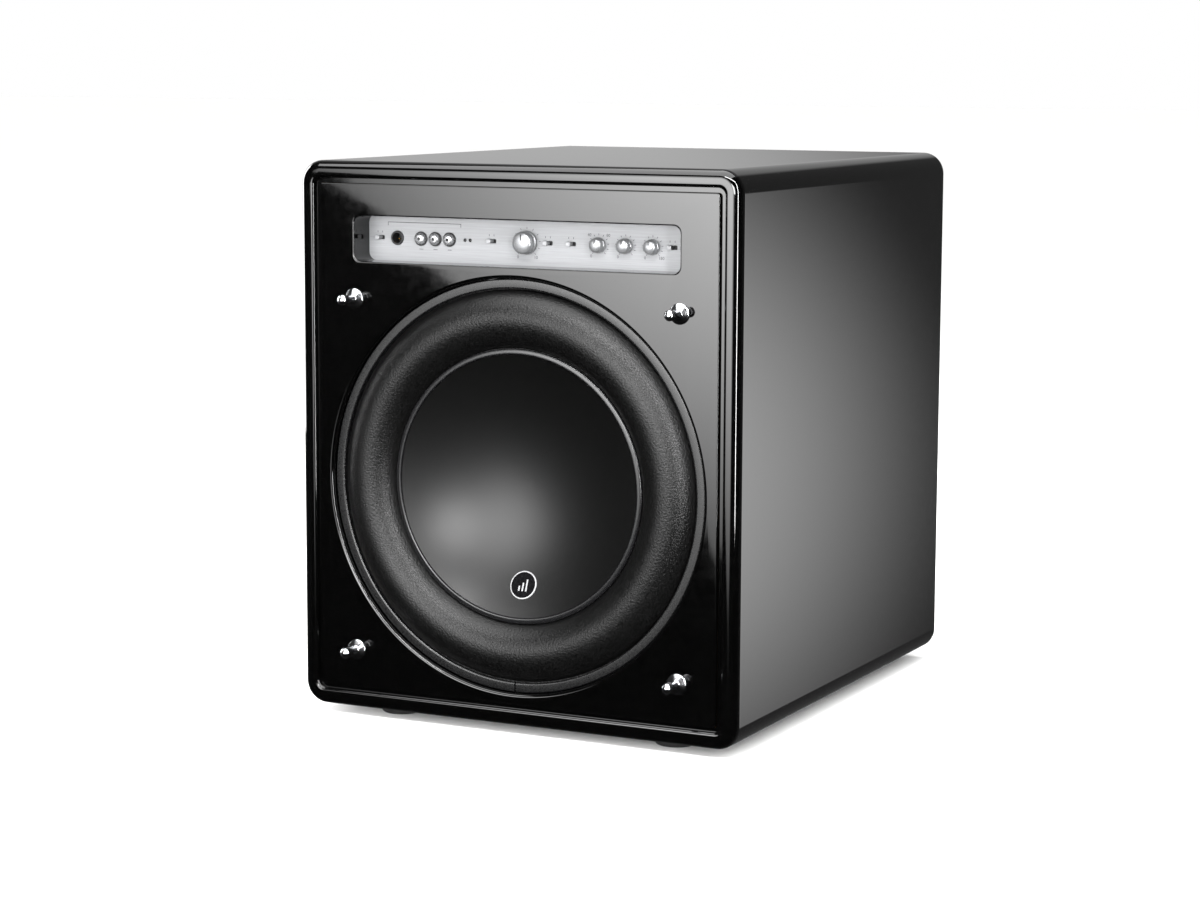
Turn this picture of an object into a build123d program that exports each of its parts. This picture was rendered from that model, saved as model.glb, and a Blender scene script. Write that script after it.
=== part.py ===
from build123d import *
from math import cos, radians, sin, sqrt
import os

os.makedirs("parts", exist_ok=True)

# Sealed powered subwoofer. Millimetres. X is to the right seen from the front, Y to the rear, Z up.
# The origin is on the floor, under the middle of the whole object.
# "Depth" is measured backwards from the front face of the cabinet's rim.

# ---------------------------------------------------------------- driving sizes: cabinet
CABINET_W = 419.0
CABINET_H = 480.0
CABINET_D = 480.0
WALL = 19.0
LONG_EDGE_R = 20.0
RIM_W = 15.0
RIM_OUTER_R = 8.0
RIM_INNER_R = 3.0
REAR_EDGE_R = 2.0
GROOVE_DEPTH = 4.0
INNER_CORNER_R = 3.0
JOINT_GAP = 0.2
FOOT_H = 9.0
FOOT_R = 20.0
FOOT_INSET_X = 75.0
FOOT_INSET_Y = 45.0
FOOT_CUP_R = 8.0
FOOT_CUP_H = 5.0
FOOT_SCREW_R = 1.9
FOOT_SCREW_L = 16.0
FOOT_SCREW_HEAD_R = 4.2
FOOT_SCREW_HEAD_H = 3.0

# ---------------------------------------------------------------- driving sizes: front
BAFFLE_SETBACK = 1.0
BAFFLE_T = 38.0
BAFFLE_EDGE_R = 1.0
DRIVER_DROP = 33.5
DRIVER_HOLE_R = 178.0
DRIVER_HOLE_EDGE_R = 3.0
DRIVER_CUT_R = 163.0
DRIVER_SEAT = 18.0
DRIVER_CLEAR = 0.8
STUD_SPACING_X = 310.0
STUD_SPACING_Z = 309.0
STUD_RAISE = 0.5
STUD_REACH = 22.0
STUD_FLANGE_R = 8.9
STUD_NECK_R = 3.2
STUD_HEAD_R = 4.5
STUD_HEAD_L = 9.0
STUD_DOME = 2.4
STUD_SHANK_R = 2.5
STUD_SHANK_L = 15.0

# ---------------------------------------------------------------- driving sizes: controls
OPENING_W = 310.0
OPENING_H = 39.5
OPENING_R = 7.0
OPENING_EDGE_R = 1.2
OPENING_RAISE = 173.5
PLATE_DEPTH = 27.0
PLATE_T = 2.0
PLATE_LAP = 6.0
PLATE_CLEAR = 1.0
BOX_WALL = 2.0
BOX_FLANGE = 14.0
BOX_BACK = 62.0
BOARD_DEPTH = 39.0
BOARD_T = 1.6
MASTER_KNOB_R = 10.0
MASTER_KNOB_H = 11.0
SMALL_KNOB_R = 6.5
SMALL_KNOB_H = 8.5
KNOB_CLEAR = 1.6
SHAFT_R = 3.0
SHAFT_FIT = 0.05
BUTTON_R = 5.0
BUTTON_TRAVEL = 1.5
BUTTON_FIT = 0.08
BUTTON_REACH = 4.5
BEZEL_R = 6.1
LEVER_W = 4.0
LEVER_H = 3.4
LEVER_REACH = 2.2
LEVER_TRAVEL = 4.6
LEVER_CLEAR = 0.2
LEVER_CORNER_R = 1.0
LEVER_FOOT_L = 2.2
MIC_R = 6.2
MIC_BORE_R = 4.6
LED_R = 1.5
MASTER_POT_R = 8.0
SMALL_POT_R = 6.0
BOX_SCREW_R = 1.7
BOX_SCREW_HEAD_R = 3.4
BOX_SCREW_L = 12.0

# Places across the panel, from the middle of the opening.
POWER_X = -144.0
MIC_X = -126.5
BUTTON_X = {"demo": -103.0, "defeat": -89.0, "calibrate": -75.0}
LED_X = (-60.0, -55.0)
MASTER_X = 0.0
SMALL_KNOB_X = {"frequency": 68.0, "trim": 93.0, "phase": 118.0}
LEVER_X = {"power": POWER_X, "level": -34.0, "lights": 20.0, "filter": 42.0, "polarity": 136.0}

# ---------------------------------------------------------------- driving sizes: driver
SURROUND_T = 1.5
SURROUND_OUTER_R = 168.5
SURROUND_INNER_R = 118.5
SURROUND_CREST = 16.0
SURROUND_DEPTH = 10.0
LANDING_OUTER_R = 176.0
GLUE_GAP = 0.1
FLANGE_R = DRIVER_HOLE_R - DRIVER_CLEAR
FLANGE_INNER_R = 157.0
GASKET_T = 1.0
SCREW_CIRCLE_R = 173.1
DRIVER_SCREWS = 8
DRIVER_SCREW_R = 1.8
DRIVER_SCREW_HEAD_R = 3.0
DRIVER_SCREW_L = 24.0
TRIM_RING_DEPTH = 5.5
TRIM_RING_T = 1.8
DISH_R = 113.0
DISH_RIM_DEPTH = 9.0
DISH_SAG = 30.0
DISH_T = 1.2
CONE_T = 1.8
CONE_NECK_DEPTH = 64.0
BADGE_R = 12.5
BADGE_T = 1.0
BADGE_DROP = 87.0
COIL_R = 38.2
FORMER_T = 0.6
FORMER_END = 142.0
COIL_T = 1.1
COIL_L = 36.0
AIR_GAP = 0.8
SPIDER_R = 104.0
SPIDER_T = 0.8
SPIDER_DEPTHS = (81.0, 99.0)
SPIDER_WAVES = 5
SPIDER_AMPLITUDE = 2.2
NECK_WALL = 7.0
SECOND_LEDGE_W = 3.0
BASKET_ARMS = 6
ARM_W = 12.0
TOP_PLATE_DEPTH = 118.0
TOP_PLATE_T = 12.0
TOP_PLATE_R = 92.0
MAGNET_R = 105.0
MAGNET_BORE_R = 50.0
MAGNET_T = 20.0
MAGNETS = 2
BACK_PLATE_R = 95.0
BACK_PLATE_T = 12.0
VENT_R = 12.0

# ---------------------------------------------------------------- driving sizes: rear and inside
AMP_W = 310.0
AMP_H = 370.0
AMP_R = 10.0
AMP_PLATE_T = 3.0
AMP_LAP = 17.0
FIN_H = 7.0
FIN_T = 3.2
FIN_PITCH = 10.0
FIN_COUNT = 27
FIN_L = 220.0
FIN_RAISE = 55.0
CHASSIS_D = 80.0
CHASSIS_WALL = 1.5
TOROID_R = 56.0
TOROID_BORE_R = 18.0
TOROID_H = 40.0
TOROID_EASE = 6.0
CAN_R = 15.0
CAN_H = 45.0
CAN_PITCH = 34.0
AMP_SCREW_R = 2.5
AMP_SCREW_HEAD_R = 4.5
BACK_T = 19.0
BRACE_T = 19.0
BRACE_DEPTH = 240.0
BRACE_RIM = 42.0
PAD_T = 25.0
PAD_L = 190.0
PAD_DEPTH = 262.0
SOCKET_DROP = 120.0
SOCKET_L = 20.0
XLR_FLANGE_T = 2.0
INLET_FLANGE_T = 2.5
XLR_X = {"left_in": 30.0, "right_in": 62.0, "out": 108.0}
XLR_FLANGE_W = 26.0
XLR_FLANGE_H = 31.0
XLR_BODY_R = 11.8
XLR_BORE_R = 9.4
XLR_BORE_L = 17.0
XLR_PIN_R = 1.2
XLR_PIN_CIRCLE_R = 4.4
XLR_CORE_R = 7.6
XLR_RECESS = 10.0
XLR_PIN_REACH = 10.5
RCA_X = (-14.0, 2.0)
RCA_R = 4.15
RCA_HOLE_R = 1.6
MODE_SWITCH_X = -52.0
INLET_X = -110.0
INLET_W = 30.0
INLET_H = 22.5
INLET_CUT_W = 27.0
INLET_CUT_H = 19.8
INLET_BORE_W = 24.0
INLET_BORE_H = 16.5
INLET_BORE_L = 18.0
CABLE_R = 2.5
LEAD_R = 0.8

# ---------------------------------------------------------------- worked-out sizes and places
REAR_REACH = AMP_PLATE_T + FIN_H
FRONT_Y = STUD_REACH - (STUD_REACH + CABINET_D + REAR_REACH) / 2
MID_Z = FOOT_H + CABINET_H / 2
DRIVER_Z = MID_Z - DRIVER_DROP
PANEL_Z = MID_Z + OPENING_RAISE
STUD_MID_Z = DRIVER_Z + STUD_RAISE
INNER_W = CABINET_W - 2 * WALL
INNER_H = CABINET_H - 2 * WALL
BOARD_W = INNER_W - 2 * JOINT_GAP
BOARD_H = INNER_H - 2 * JOINT_GAP
BAFFLE_BACK = BAFFLE_SETBACK + BAFFLE_T
FLANGE_DEPTH = SURROUND_DEPTH + SURROUND_T + GLUE_GAP
PLATE_BACK = PLATE_DEPTH + PLATE_T
PLATE_W = OPENING_W + 2 * PLATE_LAP
PLATE_H = OPENING_H + 2 * PLATE_LAP
REBATE_W = PLATE_W + 2 * PLATE_CLEAR
REBATE_H = PLATE_H + 2 * PLATE_CLEAR
BUSHING_R = SHAFT_R + 1.0
SLEEVE_R = BEZEL_R - 0.5
SLOT_W = LEVER_W + LEVER_TRAVEL + 2 * LEVER_CLEAR
SLOT_H = LEVER_H + 2 * LEVER_CLEAR
SLOT_R = LEVER_CORNER_R + LEVER_CLEAR
DISH_SPHERE_R = (DISH_R**2 + DISH_SAG**2) / (2 * DISH_SAG)
DISH_CENTRE_DEPTH = DISH_RIM_DEPTH + DISH_SAG - DISH_SPHERE_R
MAGNET_DEPTH = TOP_PLATE_DEPTH + TOP_PLATE_T
BACK_PLATE_DEPTH = MAGNET_DEPTH + MAGNETS * MAGNET_T
POLE_R = COIL_R - FORMER_T - AIR_GAP
GAP_R = COIL_R + COIL_T + AIR_GAP
SPIDER_LEDGE_R = SPIDER_R - NECK_WALL
SECOND_LEDGE_R = SPIDER_LEDGE_R - SECOND_LEDGE_W
AMP_Z = MID_Z
SOCKET_Z = AMP_Z - SOCKET_DROP
REAR_FACE = CABINET_D + AMP_PLATE_T
SOCKET_SEAT = REAR_FACE + 0.05
CHASSIS_W = AMP_W - 2 * AMP_LAP - 4.0
CHASSIS_H = AMP_H - 2 * AMP_LAP - 4.0
CHASSIS_DEPTH = CABINET_D - CHASSIS_D
STUD_PLACES = [
    (side * STUD_SPACING_X / 2, STUD_MID_Z + level * STUD_SPACING_Z / 2)
    for level in (-1, 1)
    for side in (-1, 1)
]
FOOT_PLACES = [
    (side * (CABINET_W / 2 - FOOT_INSET_X), depth)
    for depth in (FOOT_INSET_Y, CABINET_D - FOOT_INSET_Y)
    for side in (-1, 1)
]


# ---------------------------------------------------------------- working helpers
def depth_plane(depth):
    """The upright plane at a depth: its x is X, its y is Z, and it faces the front."""
    return Plane.XZ.offset(-(FRONT_Y + depth))


def section_plane(x, z):
    """The level plane through a front-to-back line: its x is the radius, its y the depth."""
    return Plane(origin=(x, FRONT_Y, z), x_dir=(1, 0, 0), z_dir=(0, 0, 1))


def slab(width, height, corner, start, thickness, x=0.0, z=MID_Z, mode=Mode.ADD):
    """A rounded upright board or pocket from one depth backwards."""
    with BuildSketch(depth_plane(start)) as outline:
        with Locations((x, z)):
            RectangleRounded(width, height, corner)
    extrude(outline.sketch, amount=-thickness, mode=mode)


def block(width, height, start, thickness, x=0.0, z=MID_Z, mode=Mode.ADD):
    """A square-cornered upright block or pocket from one depth backwards."""
    with BuildSketch(depth_plane(start)) as outline:
        with Locations((x, z)):
            Rectangle(width, height)
    extrude(outline.sketch, amount=-thickness, mode=mode)


def drum(radius, start, length, places, mode=Mode.ADD):
    """Round bars or holes from one depth backwards, at each (x, z) place."""
    with BuildSketch(depth_plane(start)) as rounds:
        with Locations(*places):
            Circle(radius)
    extrude(rounds.sketch, amount=-length, mode=mode)


def turn(outline, x=0.0, z=DRIVER_Z, mode=Mode.ADD):
    """A turned solid about a front-to-back line; the outline holds (radius, depth) points."""
    section = section_plane(x, z)
    with BuildSketch(section) as half:
        with BuildLine():
            Polyline(*outline, close=True)
        make_face()
    revolve(half.sketch, axis=Axis(section.origin, (0, 1, 0)), mode=mode)


def ring_places(count, radius, first_angle=0.0, x=0.0, z=DRIVER_Z):
    """Evenly spaced (x, z) places on a circle."""
    angles = [radians(first_angle + 360 * number / count) for number in range(count)]
    return [(x + radius * cos(angle), z + radius * sin(angle)) for angle in angles]


def save(piece, name):
    """Label a finished piece and write it."""
    piece.part.label = name
    export_step(piece.part, f"parts/{name}.step")


# ================================================================ cabinet
with BuildPart() as cabinet_shell:
    slab(CABINET_W, CABINET_H, LONG_EDGE_R, 0, CABINET_D)
    slab(INNER_W, INNER_H, INNER_CORNER_R, 0, CABINET_D, mode=Mode.SUBTRACT)
    slab(
        CABINET_W - 2 * RIM_W,
        CABINET_H - 2 * RIM_W,
        INNER_CORNER_R + WALL - RIM_W,
        0,
        GROOVE_DEPTH,
        mode=Mode.SUBTRACT,
    )
    rim_face = cabinet_shell.faces().sort_by(Axis.Y)[0]
    fillet(rim_face.outer_wire().edges(), radius=RIM_OUTER_R)
    rim_face = cabinet_shell.faces().sort_by(Axis.Y)[0]
    fillet(rim_face.inner_wires()[0].edges(), radius=RIM_INNER_R)
    rear_face = cabinet_shell.faces().sort_by(Axis.Y)[-1]
    fillet(rear_face.outer_wire().edges(), radius=REAR_EDGE_R)
    for foot_x, foot_depth in FOOT_PLACES:
        with BuildSketch(Plane.XY.offset(FOOT_H)):
            with Locations((foot_x, FRONT_Y + foot_depth)):
                Circle(FOOT_SCREW_R + 0.1)
        extrude(amount=FOOT_SCREW_L - 2.0, mode=Mode.SUBTRACT)
save(cabinet_shell, "cabinet_shell")

with BuildPart() as front_baffle:
    slab(BOARD_W, BOARD_H, INNER_CORNER_R, BAFFLE_SETBACK, BAFFLE_T)
    drum(DRIVER_HOLE_R, BAFFLE_SETBACK, DRIVER_SEAT - BAFFLE_SETBACK, [(0, DRIVER_Z)], Mode.SUBTRACT)
    drum(DRIVER_CUT_R, DRIVER_SEAT, BAFFLE_BACK - DRIVER_SEAT, [(0, DRIVER_Z)], Mode.SUBTRACT)
    slab(
        OPENING_W,
        OPENING_H,
        OPENING_R,
        BAFFLE_SETBACK,
        PLATE_DEPTH - BAFFLE_SETBACK,
        z=PANEL_Z,
        mode=Mode.SUBTRACT,
    )
    slab(
        REBATE_W,
        REBATE_H,
        OPENING_R,
        PLATE_DEPTH,
        BAFFLE_BACK - PLATE_DEPTH,
        z=PANEL_Z,
        mode=Mode.SUBTRACT,
    )
    front_edges = front_baffle.faces().sort_by(Axis.Y)[0].edges()
    driver_edge = front_edges.filter_by(GeomType.CIRCLE).sort_by(SortBy.RADIUS)[-1]
    fillet(driver_edge, radius=DRIVER_HOLE_EDGE_R)
    front_face = front_baffle.faces().sort_by(Axis.Y)[0]
    opening_wire = front_face.inner_wires().sort_by(Axis.Z)[-1]
    fillet(opening_wire.edges(), radius=OPENING_EDGE_R)
    front_face = front_baffle.faces().sort_by(Axis.Y)[0]
    fillet(front_face.outer_wire().edges(), radius=BAFFLE_EDGE_R)
    drum(
        STUD_SHANK_R + 0.1,
        BAFFLE_SETBACK,
        STUD_SHANK_L + 1.0,
        STUD_PLACES,
        Mode.SUBTRACT,
    )
    drum(
        DRIVER_SCREW_R + 0.1,
        DRIVER_SEAT,
        DRIVER_SCREW_L - (DRIVER_SEAT - FLANGE_DEPTH) + 1.0,
        ring_places(DRIVER_SCREWS, SCREW_CIRCLE_R, 22.5),
        Mode.SUBTRACT,
    )
    box_screw_places = [
        (side * (REBATE_W / 2 + BOX_FLANGE / 2 - 1.0), PANEL_Z + level * REBATE_H / 3)
        for side in (-1, 1)
        for level in (-1, 1)
    ]
    box_screw_places += [(0, PANEL_Z + level * (REBATE_H / 2 + 4.0)) for level in (-1, 1)]
    drum(
        BOX_SCREW_R + 0.1,
        BAFFLE_BACK - BOX_SCREW_L - 1.0,
        BOX_SCREW_L + 1.0,
        box_screw_places,
        Mode.SUBTRACT,
    )
save(front_baffle, "front_baffle")

with BuildPart() as back_panel:
    slab(BOARD_W, BOARD_H, INNER_CORNER_R, CABINET_D - BACK_T, BACK_T)
    slab(
        AMP_W - 2 * AMP_LAP,
        AMP_H - 2 * AMP_LAP,
        AMP_R / 2,
        CABINET_D - BACK_T,
        BACK_T,
        z=AMP_Z,
        mode=Mode.SUBTRACT,
    )
    amp_screw_places = [
        (side * (AMP_W - AMP_LAP) / 2, AMP_Z + level * (AMP_H - AMP_LAP) / 2)
        for side in (-1, 0, 1)
        for level in (-1, 0, 1)
        if side != 0 or level != 0
    ]
    drum(AMP_SCREW_R + 0.1, CABINET_D - 15.0, 15.0, amp_screw_places, Mode.SUBTRACT)
save(back_panel, "back_panel")

with BuildPart() as window_brace:
    slab(BOARD_W, BOARD_H, INNER_CORNER_R, BRACE_DEPTH, BRACE_T)
    slab(
        BOARD_W - 2 * BRACE_RIM,
        BOARD_H - 2 * BRACE_RIM,
        LONG_EDGE_R,
        BRACE_DEPTH,
        BRACE_T,
        mode=Mode.SUBTRACT,
    )
save(window_brace, "window_brace")

with BuildPart() as damping_pads:
    pad_height = INNER_H - 60.0
    for side in (-1, 1):
        pad_x = side * (INNER_W / 2 - PAD_T / 2 - 0.5)
        slab(PAD_T, pad_height, 6.0, PAD_DEPTH, PAD_L, x=pad_x)
    floor_pad_z = FOOT_H + WALL + PAD_T / 2 + 0.5
    slab(INNER_W - 2 * PAD_T - 12.0, PAD_T, 6.0, PAD_DEPTH, PAD_L, z=floor_pad_z)
save(damping_pads, "damping_pads")

with BuildPart() as feet:
    for foot_x, foot_depth in FOOT_PLACES:
        section = Plane(origin=(foot_x, FRONT_Y + foot_depth, 0), x_dir=(1, 0, 0), z_dir=(0, -1, 0))
        with BuildSketch(section):
            with BuildLine():
                Polyline(
                    (2.2, FOOT_H),
                    (FOOT_R - 1.0, FOOT_H),
                    (FOOT_R, FOOT_H - 1.5),
                    (FOOT_R - 2.0, 0.8),
                    (FOOT_R - 3.0, 0),
                    (FOOT_CUP_R, 0),
                    (FOOT_CUP_R, FOOT_CUP_H),
                    (2.2, FOOT_CUP_H),
                    close=True,
                )
            make_face()
        revolve(axis=Axis(section.origin, (0, 0, 1)))
save(feet, "feet")

with BuildPart() as foot_screws:
    for foot_x, foot_depth in FOOT_PLACES:
        with BuildSketch(Plane.XY.offset(FOOT_CUP_H)):
            with Locations((foot_x, FRONT_Y + foot_depth)):
                Circle(FOOT_SCREW_R)
        extrude(amount=FOOT_SCREW_L)
        with BuildSketch(Plane.XY.offset(FOOT_CUP_H - FOOT_SCREW_HEAD_H)):
            with Locations((foot_x, FRONT_Y + foot_depth)):
                Circle(FOOT_SCREW_HEAD_R)
                Rectangle(6.0, 1.2, mode=Mode.SUBTRACT)
                Rectangle(1.2, 6.0, mode=Mode.SUBTRACT)
        extrude(amount=1.2)
        with BuildSketch(Plane.XY.offset(FOOT_CUP_H - FOOT_SCREW_HEAD_H + 1.2)):
            with Locations((foot_x, FRONT_Y + foot_depth)):
                Circle(FOOT_SCREW_HEAD_R)
        extrude(amount=FOOT_SCREW_HEAD_H - 1.2)
save(foot_screws, "foot_screws")

with BuildPart() as grille_studs:
    neck_end = -STUD_REACH + STUD_HEAD_L
    dome_start = -STUD_REACH + STUD_DOME
    dome_r = (STUD_HEAD_R**2 + STUD_DOME**2) / (2 * STUD_DOME)
    dome_middle = -STUD_REACH + dome_r - sqrt(dome_r**2 - (STUD_HEAD_R / 2) ** 2)
    stud_outline = [
        (0, BAFFLE_SETBACK + STUD_SHANK_L),
        (STUD_SHANK_R, BAFFLE_SETBACK + STUD_SHANK_L),
        (STUD_SHANK_R, BAFFLE_SETBACK),
        (STUD_FLANGE_R, BAFFLE_SETBACK),
        (STUD_FLANGE_R, BAFFLE_SETBACK - 0.9),
        (STUD_FLANGE_R - 0.9, BAFFLE_SETBACK - 1.6),
        (STUD_NECK_R + 0.8, BAFFLE_SETBACK - 3.6),
        (STUD_NECK_R, BAFFLE_SETBACK - 4.4),
        (STUD_NECK_R, neck_end + 1.2),
        (STUD_HEAD_R - 0.4, neck_end),
        (STUD_HEAD_R, neck_end - 0.6),
        (STUD_HEAD_R, dome_start),
    ]
    for stud_x, stud_z in STUD_PLACES:
        section = section_plane(stud_x, stud_z)
        with BuildSketch(section):
            with BuildLine():
                Polyline(*stud_outline)
                ThreePointArc(
                    (STUD_HEAD_R, dome_start),
                    (STUD_HEAD_R / 2, dome_middle),
                    (0, -STUD_REACH),
                )
                Line((0, -STUD_REACH), (0, BAFFLE_SETBACK + STUD_SHANK_L))
            make_face()
        revolve(axis=Axis(section.origin, (0, 1, 0)))
save(grille_studs, "grille_studs")

# ================================================================ control panel
small_places = [(x, PANEL_Z) for x in SMALL_KNOB_X.values()]
lever_places = [(x, PANEL_Z) for x in LEVER_X.values()]
button_places = [(x, PANEL_Z) for x in BUTTON_X.values()]
led_places = [(x, PANEL_Z) for x in LED_X]

with BuildPart() as panel_plate:
    slab(PLATE_W, PLATE_H, OPENING_R, PLATE_DEPTH + GLUE_GAP, PLATE_T - GLUE_GAP, z=PANEL_Z)
    drum(BUSHING_R + 0.2, PLATE_DEPTH, PLATE_T, [(MASTER_X, PANEL_Z), *small_places], Mode.SUBTRACT)
    drum(SLEEVE_R + 0.1, PLATE_DEPTH, PLATE_T, button_places, Mode.SUBTRACT)
    drum(LED_R + 0.1, PLATE_DEPTH, PLATE_T, led_places, Mode.SUBTRACT)
    drum(MIC_R - 0.5, PLATE_DEPTH, PLATE_T, [(MIC_X, PANEL_Z)], Mode.SUBTRACT)
    for lever_x, lever_z in lever_places:
        slab(SLOT_W, SLOT_H, SLOT_R, PLATE_DEPTH, PLATE_T, x=lever_x, z=lever_z, mode=Mode.SUBTRACT)
save(panel_plate, "panel_plate")

with BuildPart() as control_box:
    box_start = PLATE_BACK + GLUE_GAP
    slab(PLATE_W, PLATE_H, OPENING_R, box_start, BOX_BACK - box_start, z=PANEL_Z)
    slab(
        REBATE_W + 2 * BOX_FLANGE,
        REBATE_H + 2 * BOX_FLANGE * 0.6,
        OPENING_R,
        BAFFLE_BACK + GLUE_GAP,
        BOX_WALL,
        z=PANEL_Z,
    )
    slab(
        PLATE_W - 2 * BOX_WALL,
        PLATE_H - 2 * BOX_WALL,
        OPENING_R - BOX_WALL,
        box_start,
        BOX_BACK - BOX_WALL - box_start,
        z=PANEL_Z,
        mode=Mode.SUBTRACT,
    )
    drum(BOX_SCREW_R + 0.3, BAFFLE_BACK, BOX_WALL + 1.0, box_screw_places, Mode.SUBTRACT)
save(control_box, "control_box")

with BuildPart() as control_board:
    slab(
        PLATE_W - 2 * BOX_WALL - 2.0,
        PLATE_H - 2 * BOX_WALL - 2.0,
        2.0,
        BOARD_DEPTH,
        BOARD_T,
        z=PANEL_Z,
    )
save(control_board, "control_board")

with BuildPart() as panel_screws:
    box_flange_back = BAFFLE_BACK + GLUE_GAP + BOX_WALL
    box_screw_start = BAFFLE_BACK - BOX_SCREW_L
    drum(BOX_SCREW_R, box_screw_start, box_flange_back + 0.5 - box_screw_start, box_screw_places)
    drum(BOX_SCREW_HEAD_R, box_flange_back + 0.05, 2.2, box_screw_places)
    drum(1.4, box_flange_back + 1.2, 1.4, box_screw_places, Mode.SUBTRACT)
save(panel_screws, "panel_screws")

with BuildPart() as panel_pots:
    for pot_x, pot_r in [(MASTER_X, MASTER_POT_R), *[(x, SMALL_POT_R) for x in SMALL_KNOB_X.values()]]:
        drum(pot_r, PLATE_BACK + 0.1, BOARD_DEPTH - PLATE_BACK - 0.2, [(pot_x, PANEL_Z)])
        drum(BUSHING_R, PLATE_DEPTH - 0.8, PLATE_T + 1.2, [(pot_x, PANEL_Z)])
        drum(
            SHAFT_R + SHAFT_FIT,
            PLATE_DEPTH - 1.0,
            10.0,
            [(pot_x, PANEL_Z)],
            Mode.SUBTRACT,
        )
save(panel_pots, "panel_pots")


def knob_outline(radius, height):
    """Half outline of a domed knob with a stepped skirt, as (radius, depth) points."""
    back = PLATE_DEPTH - KNOB_CLEAR
    front = back - height
    return [
        (0, front + 1.0),
        (radius * 0.35, front + 1.12),
        (radius * 0.62, front + 1.5),
        (radius * 0.82, front + 2.2),
        (radius * 0.92, front + 3.3),
        (radius * 0.95, front + 4.6),
        (radius * 0.95, back - 2.6),
        (radius * 0.90, back - 2.2),
        (radius * 0.90, back - 1.8),
        (radius, back - 1.5),
        (radius, back),
        (0, back),
    ]


def make_knob(name, knob_x, radius, height):
    """A knob with an index line on its face and a blind bore, and the shaft that it sits on."""
    back = PLATE_DEPTH - KNOB_CLEAR
    front = back - height
    bore_bottom = front + 4.0
    with BuildPart() as knob:
        turn(knob_outline(radius, height), knob_x, PANEL_Z)
        drum(SHAFT_R + 0.02, bore_bottom, back - bore_bottom, [(knob_x, PANEL_Z)], Mode.SUBTRACT)
        block(0.9, radius * 0.7, front, 2.0, knob_x, PANEL_Z + radius * 0.55, Mode.SUBTRACT)
    save(knob, f"{name}_knob")
    with BuildPart() as shaft:
        drum(SHAFT_R, bore_bottom + 0.1, PLATE_DEPTH + 8.7 - bore_bottom, [(knob_x, PANEL_Z)])
    save(shaft, f"{name}_shaft")


make_knob("master", MASTER_X, MASTER_KNOB_R, MASTER_KNOB_H)
for knob_name, small_x in SMALL_KNOB_X.items():
    make_knob(knob_name, small_x, SMALL_KNOB_R, SMALL_KNOB_H)

with BuildPart() as button_bezels:
    for button_x, button_z in button_places:
        turn(
            [
                (BUTTON_R + BUTTON_FIT, PLATE_DEPTH - 1.4),
                (BEZEL_R - 0.4, PLATE_DEPTH - 1.4),
                (BEZEL_R, PLATE_DEPTH - 1.0),
                (BEZEL_R, PLATE_DEPTH),
                (SLEEVE_R, PLATE_DEPTH),
                (SLEEVE_R, PLATE_BACK + 1.0),
                (BUTTON_R + BUTTON_FIT, PLATE_BACK + 1.0),
            ],
            button_x,
            button_z,
        )
save(button_bezels, "button_bezels")

for button_name, button_x in BUTTON_X.items():
    button_front = PLATE_DEPTH - BUTTON_REACH
    with BuildPart() as button:
        turn(
            [
                (0, button_front + 0.8),
                (1.4, button_front + 0.8),
                (1.4, button_front),
                (BUTTON_R - 2.2, button_front + 0.15),
                (BUTTON_R - 0.9, button_front + 0.8),
                (BUTTON_R - 0.2, button_front + 1.9),
                (BUTTON_R, button_front + 3.0),
                (BUTTON_R, PLATE_BACK + 2.0),
                (2.0, PLATE_BACK + 2.0),
                (2.0, PLATE_BACK + 4.8),
                (0, PLATE_BACK + 4.8),
            ],
            button_x,
            PANEL_Z,
        )
    save(button, f"{button_name}_button")

with BuildPart() as status_leds:
    for led_x, led_z in led_places:
        turn(
            [
                (0, PLATE_DEPTH - 0.9),
                (LED_R * 0.6, PLATE_DEPTH - 0.6),
                (LED_R, PLATE_DEPTH + 0.4),
                (LED_R, PLATE_BACK + 0.2),
                (LED_R + 0.4, PLATE_BACK + 0.2),
                (LED_R + 0.4, PLATE_BACK + 1.2),
                (0, PLATE_BACK + 1.2),
            ],
            led_x,
            led_z,
        )
save(status_leds, "status_leds")

with BuildPart() as mic_socket:
    turn(
        [
            (MIC_BORE_R, PLATE_DEPTH - 1.4),
            (MIC_R - 0.5, PLATE_DEPTH - 1.4),
            (MIC_R, PLATE_DEPTH - 0.9),
            (MIC_R, PLATE_DEPTH),
            (MIC_R - 0.7, PLATE_DEPTH),
            (MIC_R - 0.7, BOARD_DEPTH - 0.3),
            (0, BOARD_DEPTH - 0.3),
            (0, BOARD_DEPTH - 2.5),
            (MIC_BORE_R, BOARD_DEPTH - 2.5),
        ],
        MIC_X,
        PANEL_Z,
    )
    drum(0.5, BOARD_DEPTH - 5.5, 3.5, ring_places(3, 2.6, 90.0, MIC_X, PANEL_Z))
save(mic_socket, "mic_socket")

with BuildPart() as switch_bodies:
    for lever_x, lever_z in lever_places:
        block(13.0, 7.0, PLATE_BACK + 0.1, BOARD_DEPTH - PLATE_BACK - 0.2, lever_x, lever_z)
        block(SLOT_W, SLOT_H, PLATE_BACK, 2.6, lever_x, lever_z, Mode.SUBTRACT)
    tact_front = PLATE_BACK + 4.8 + BUTTON_TRAVEL + 0.1
    for button_x, button_z in button_places:
        block(6.0, 6.0, tact_front, BOARD_DEPTH - tact_front - 0.1, button_x, button_z)
    block(13.0, 7.0, CABINET_D - 9.0, 8.9, MODE_SWITCH_X, SOCKET_Z)
    block(SLOT_W, SLOT_H, CABINET_D - 2.6, 2.6, MODE_SWITCH_X, SOCKET_Z, Mode.SUBTRACT)
save(switch_bodies, "switch_bodies")

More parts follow.
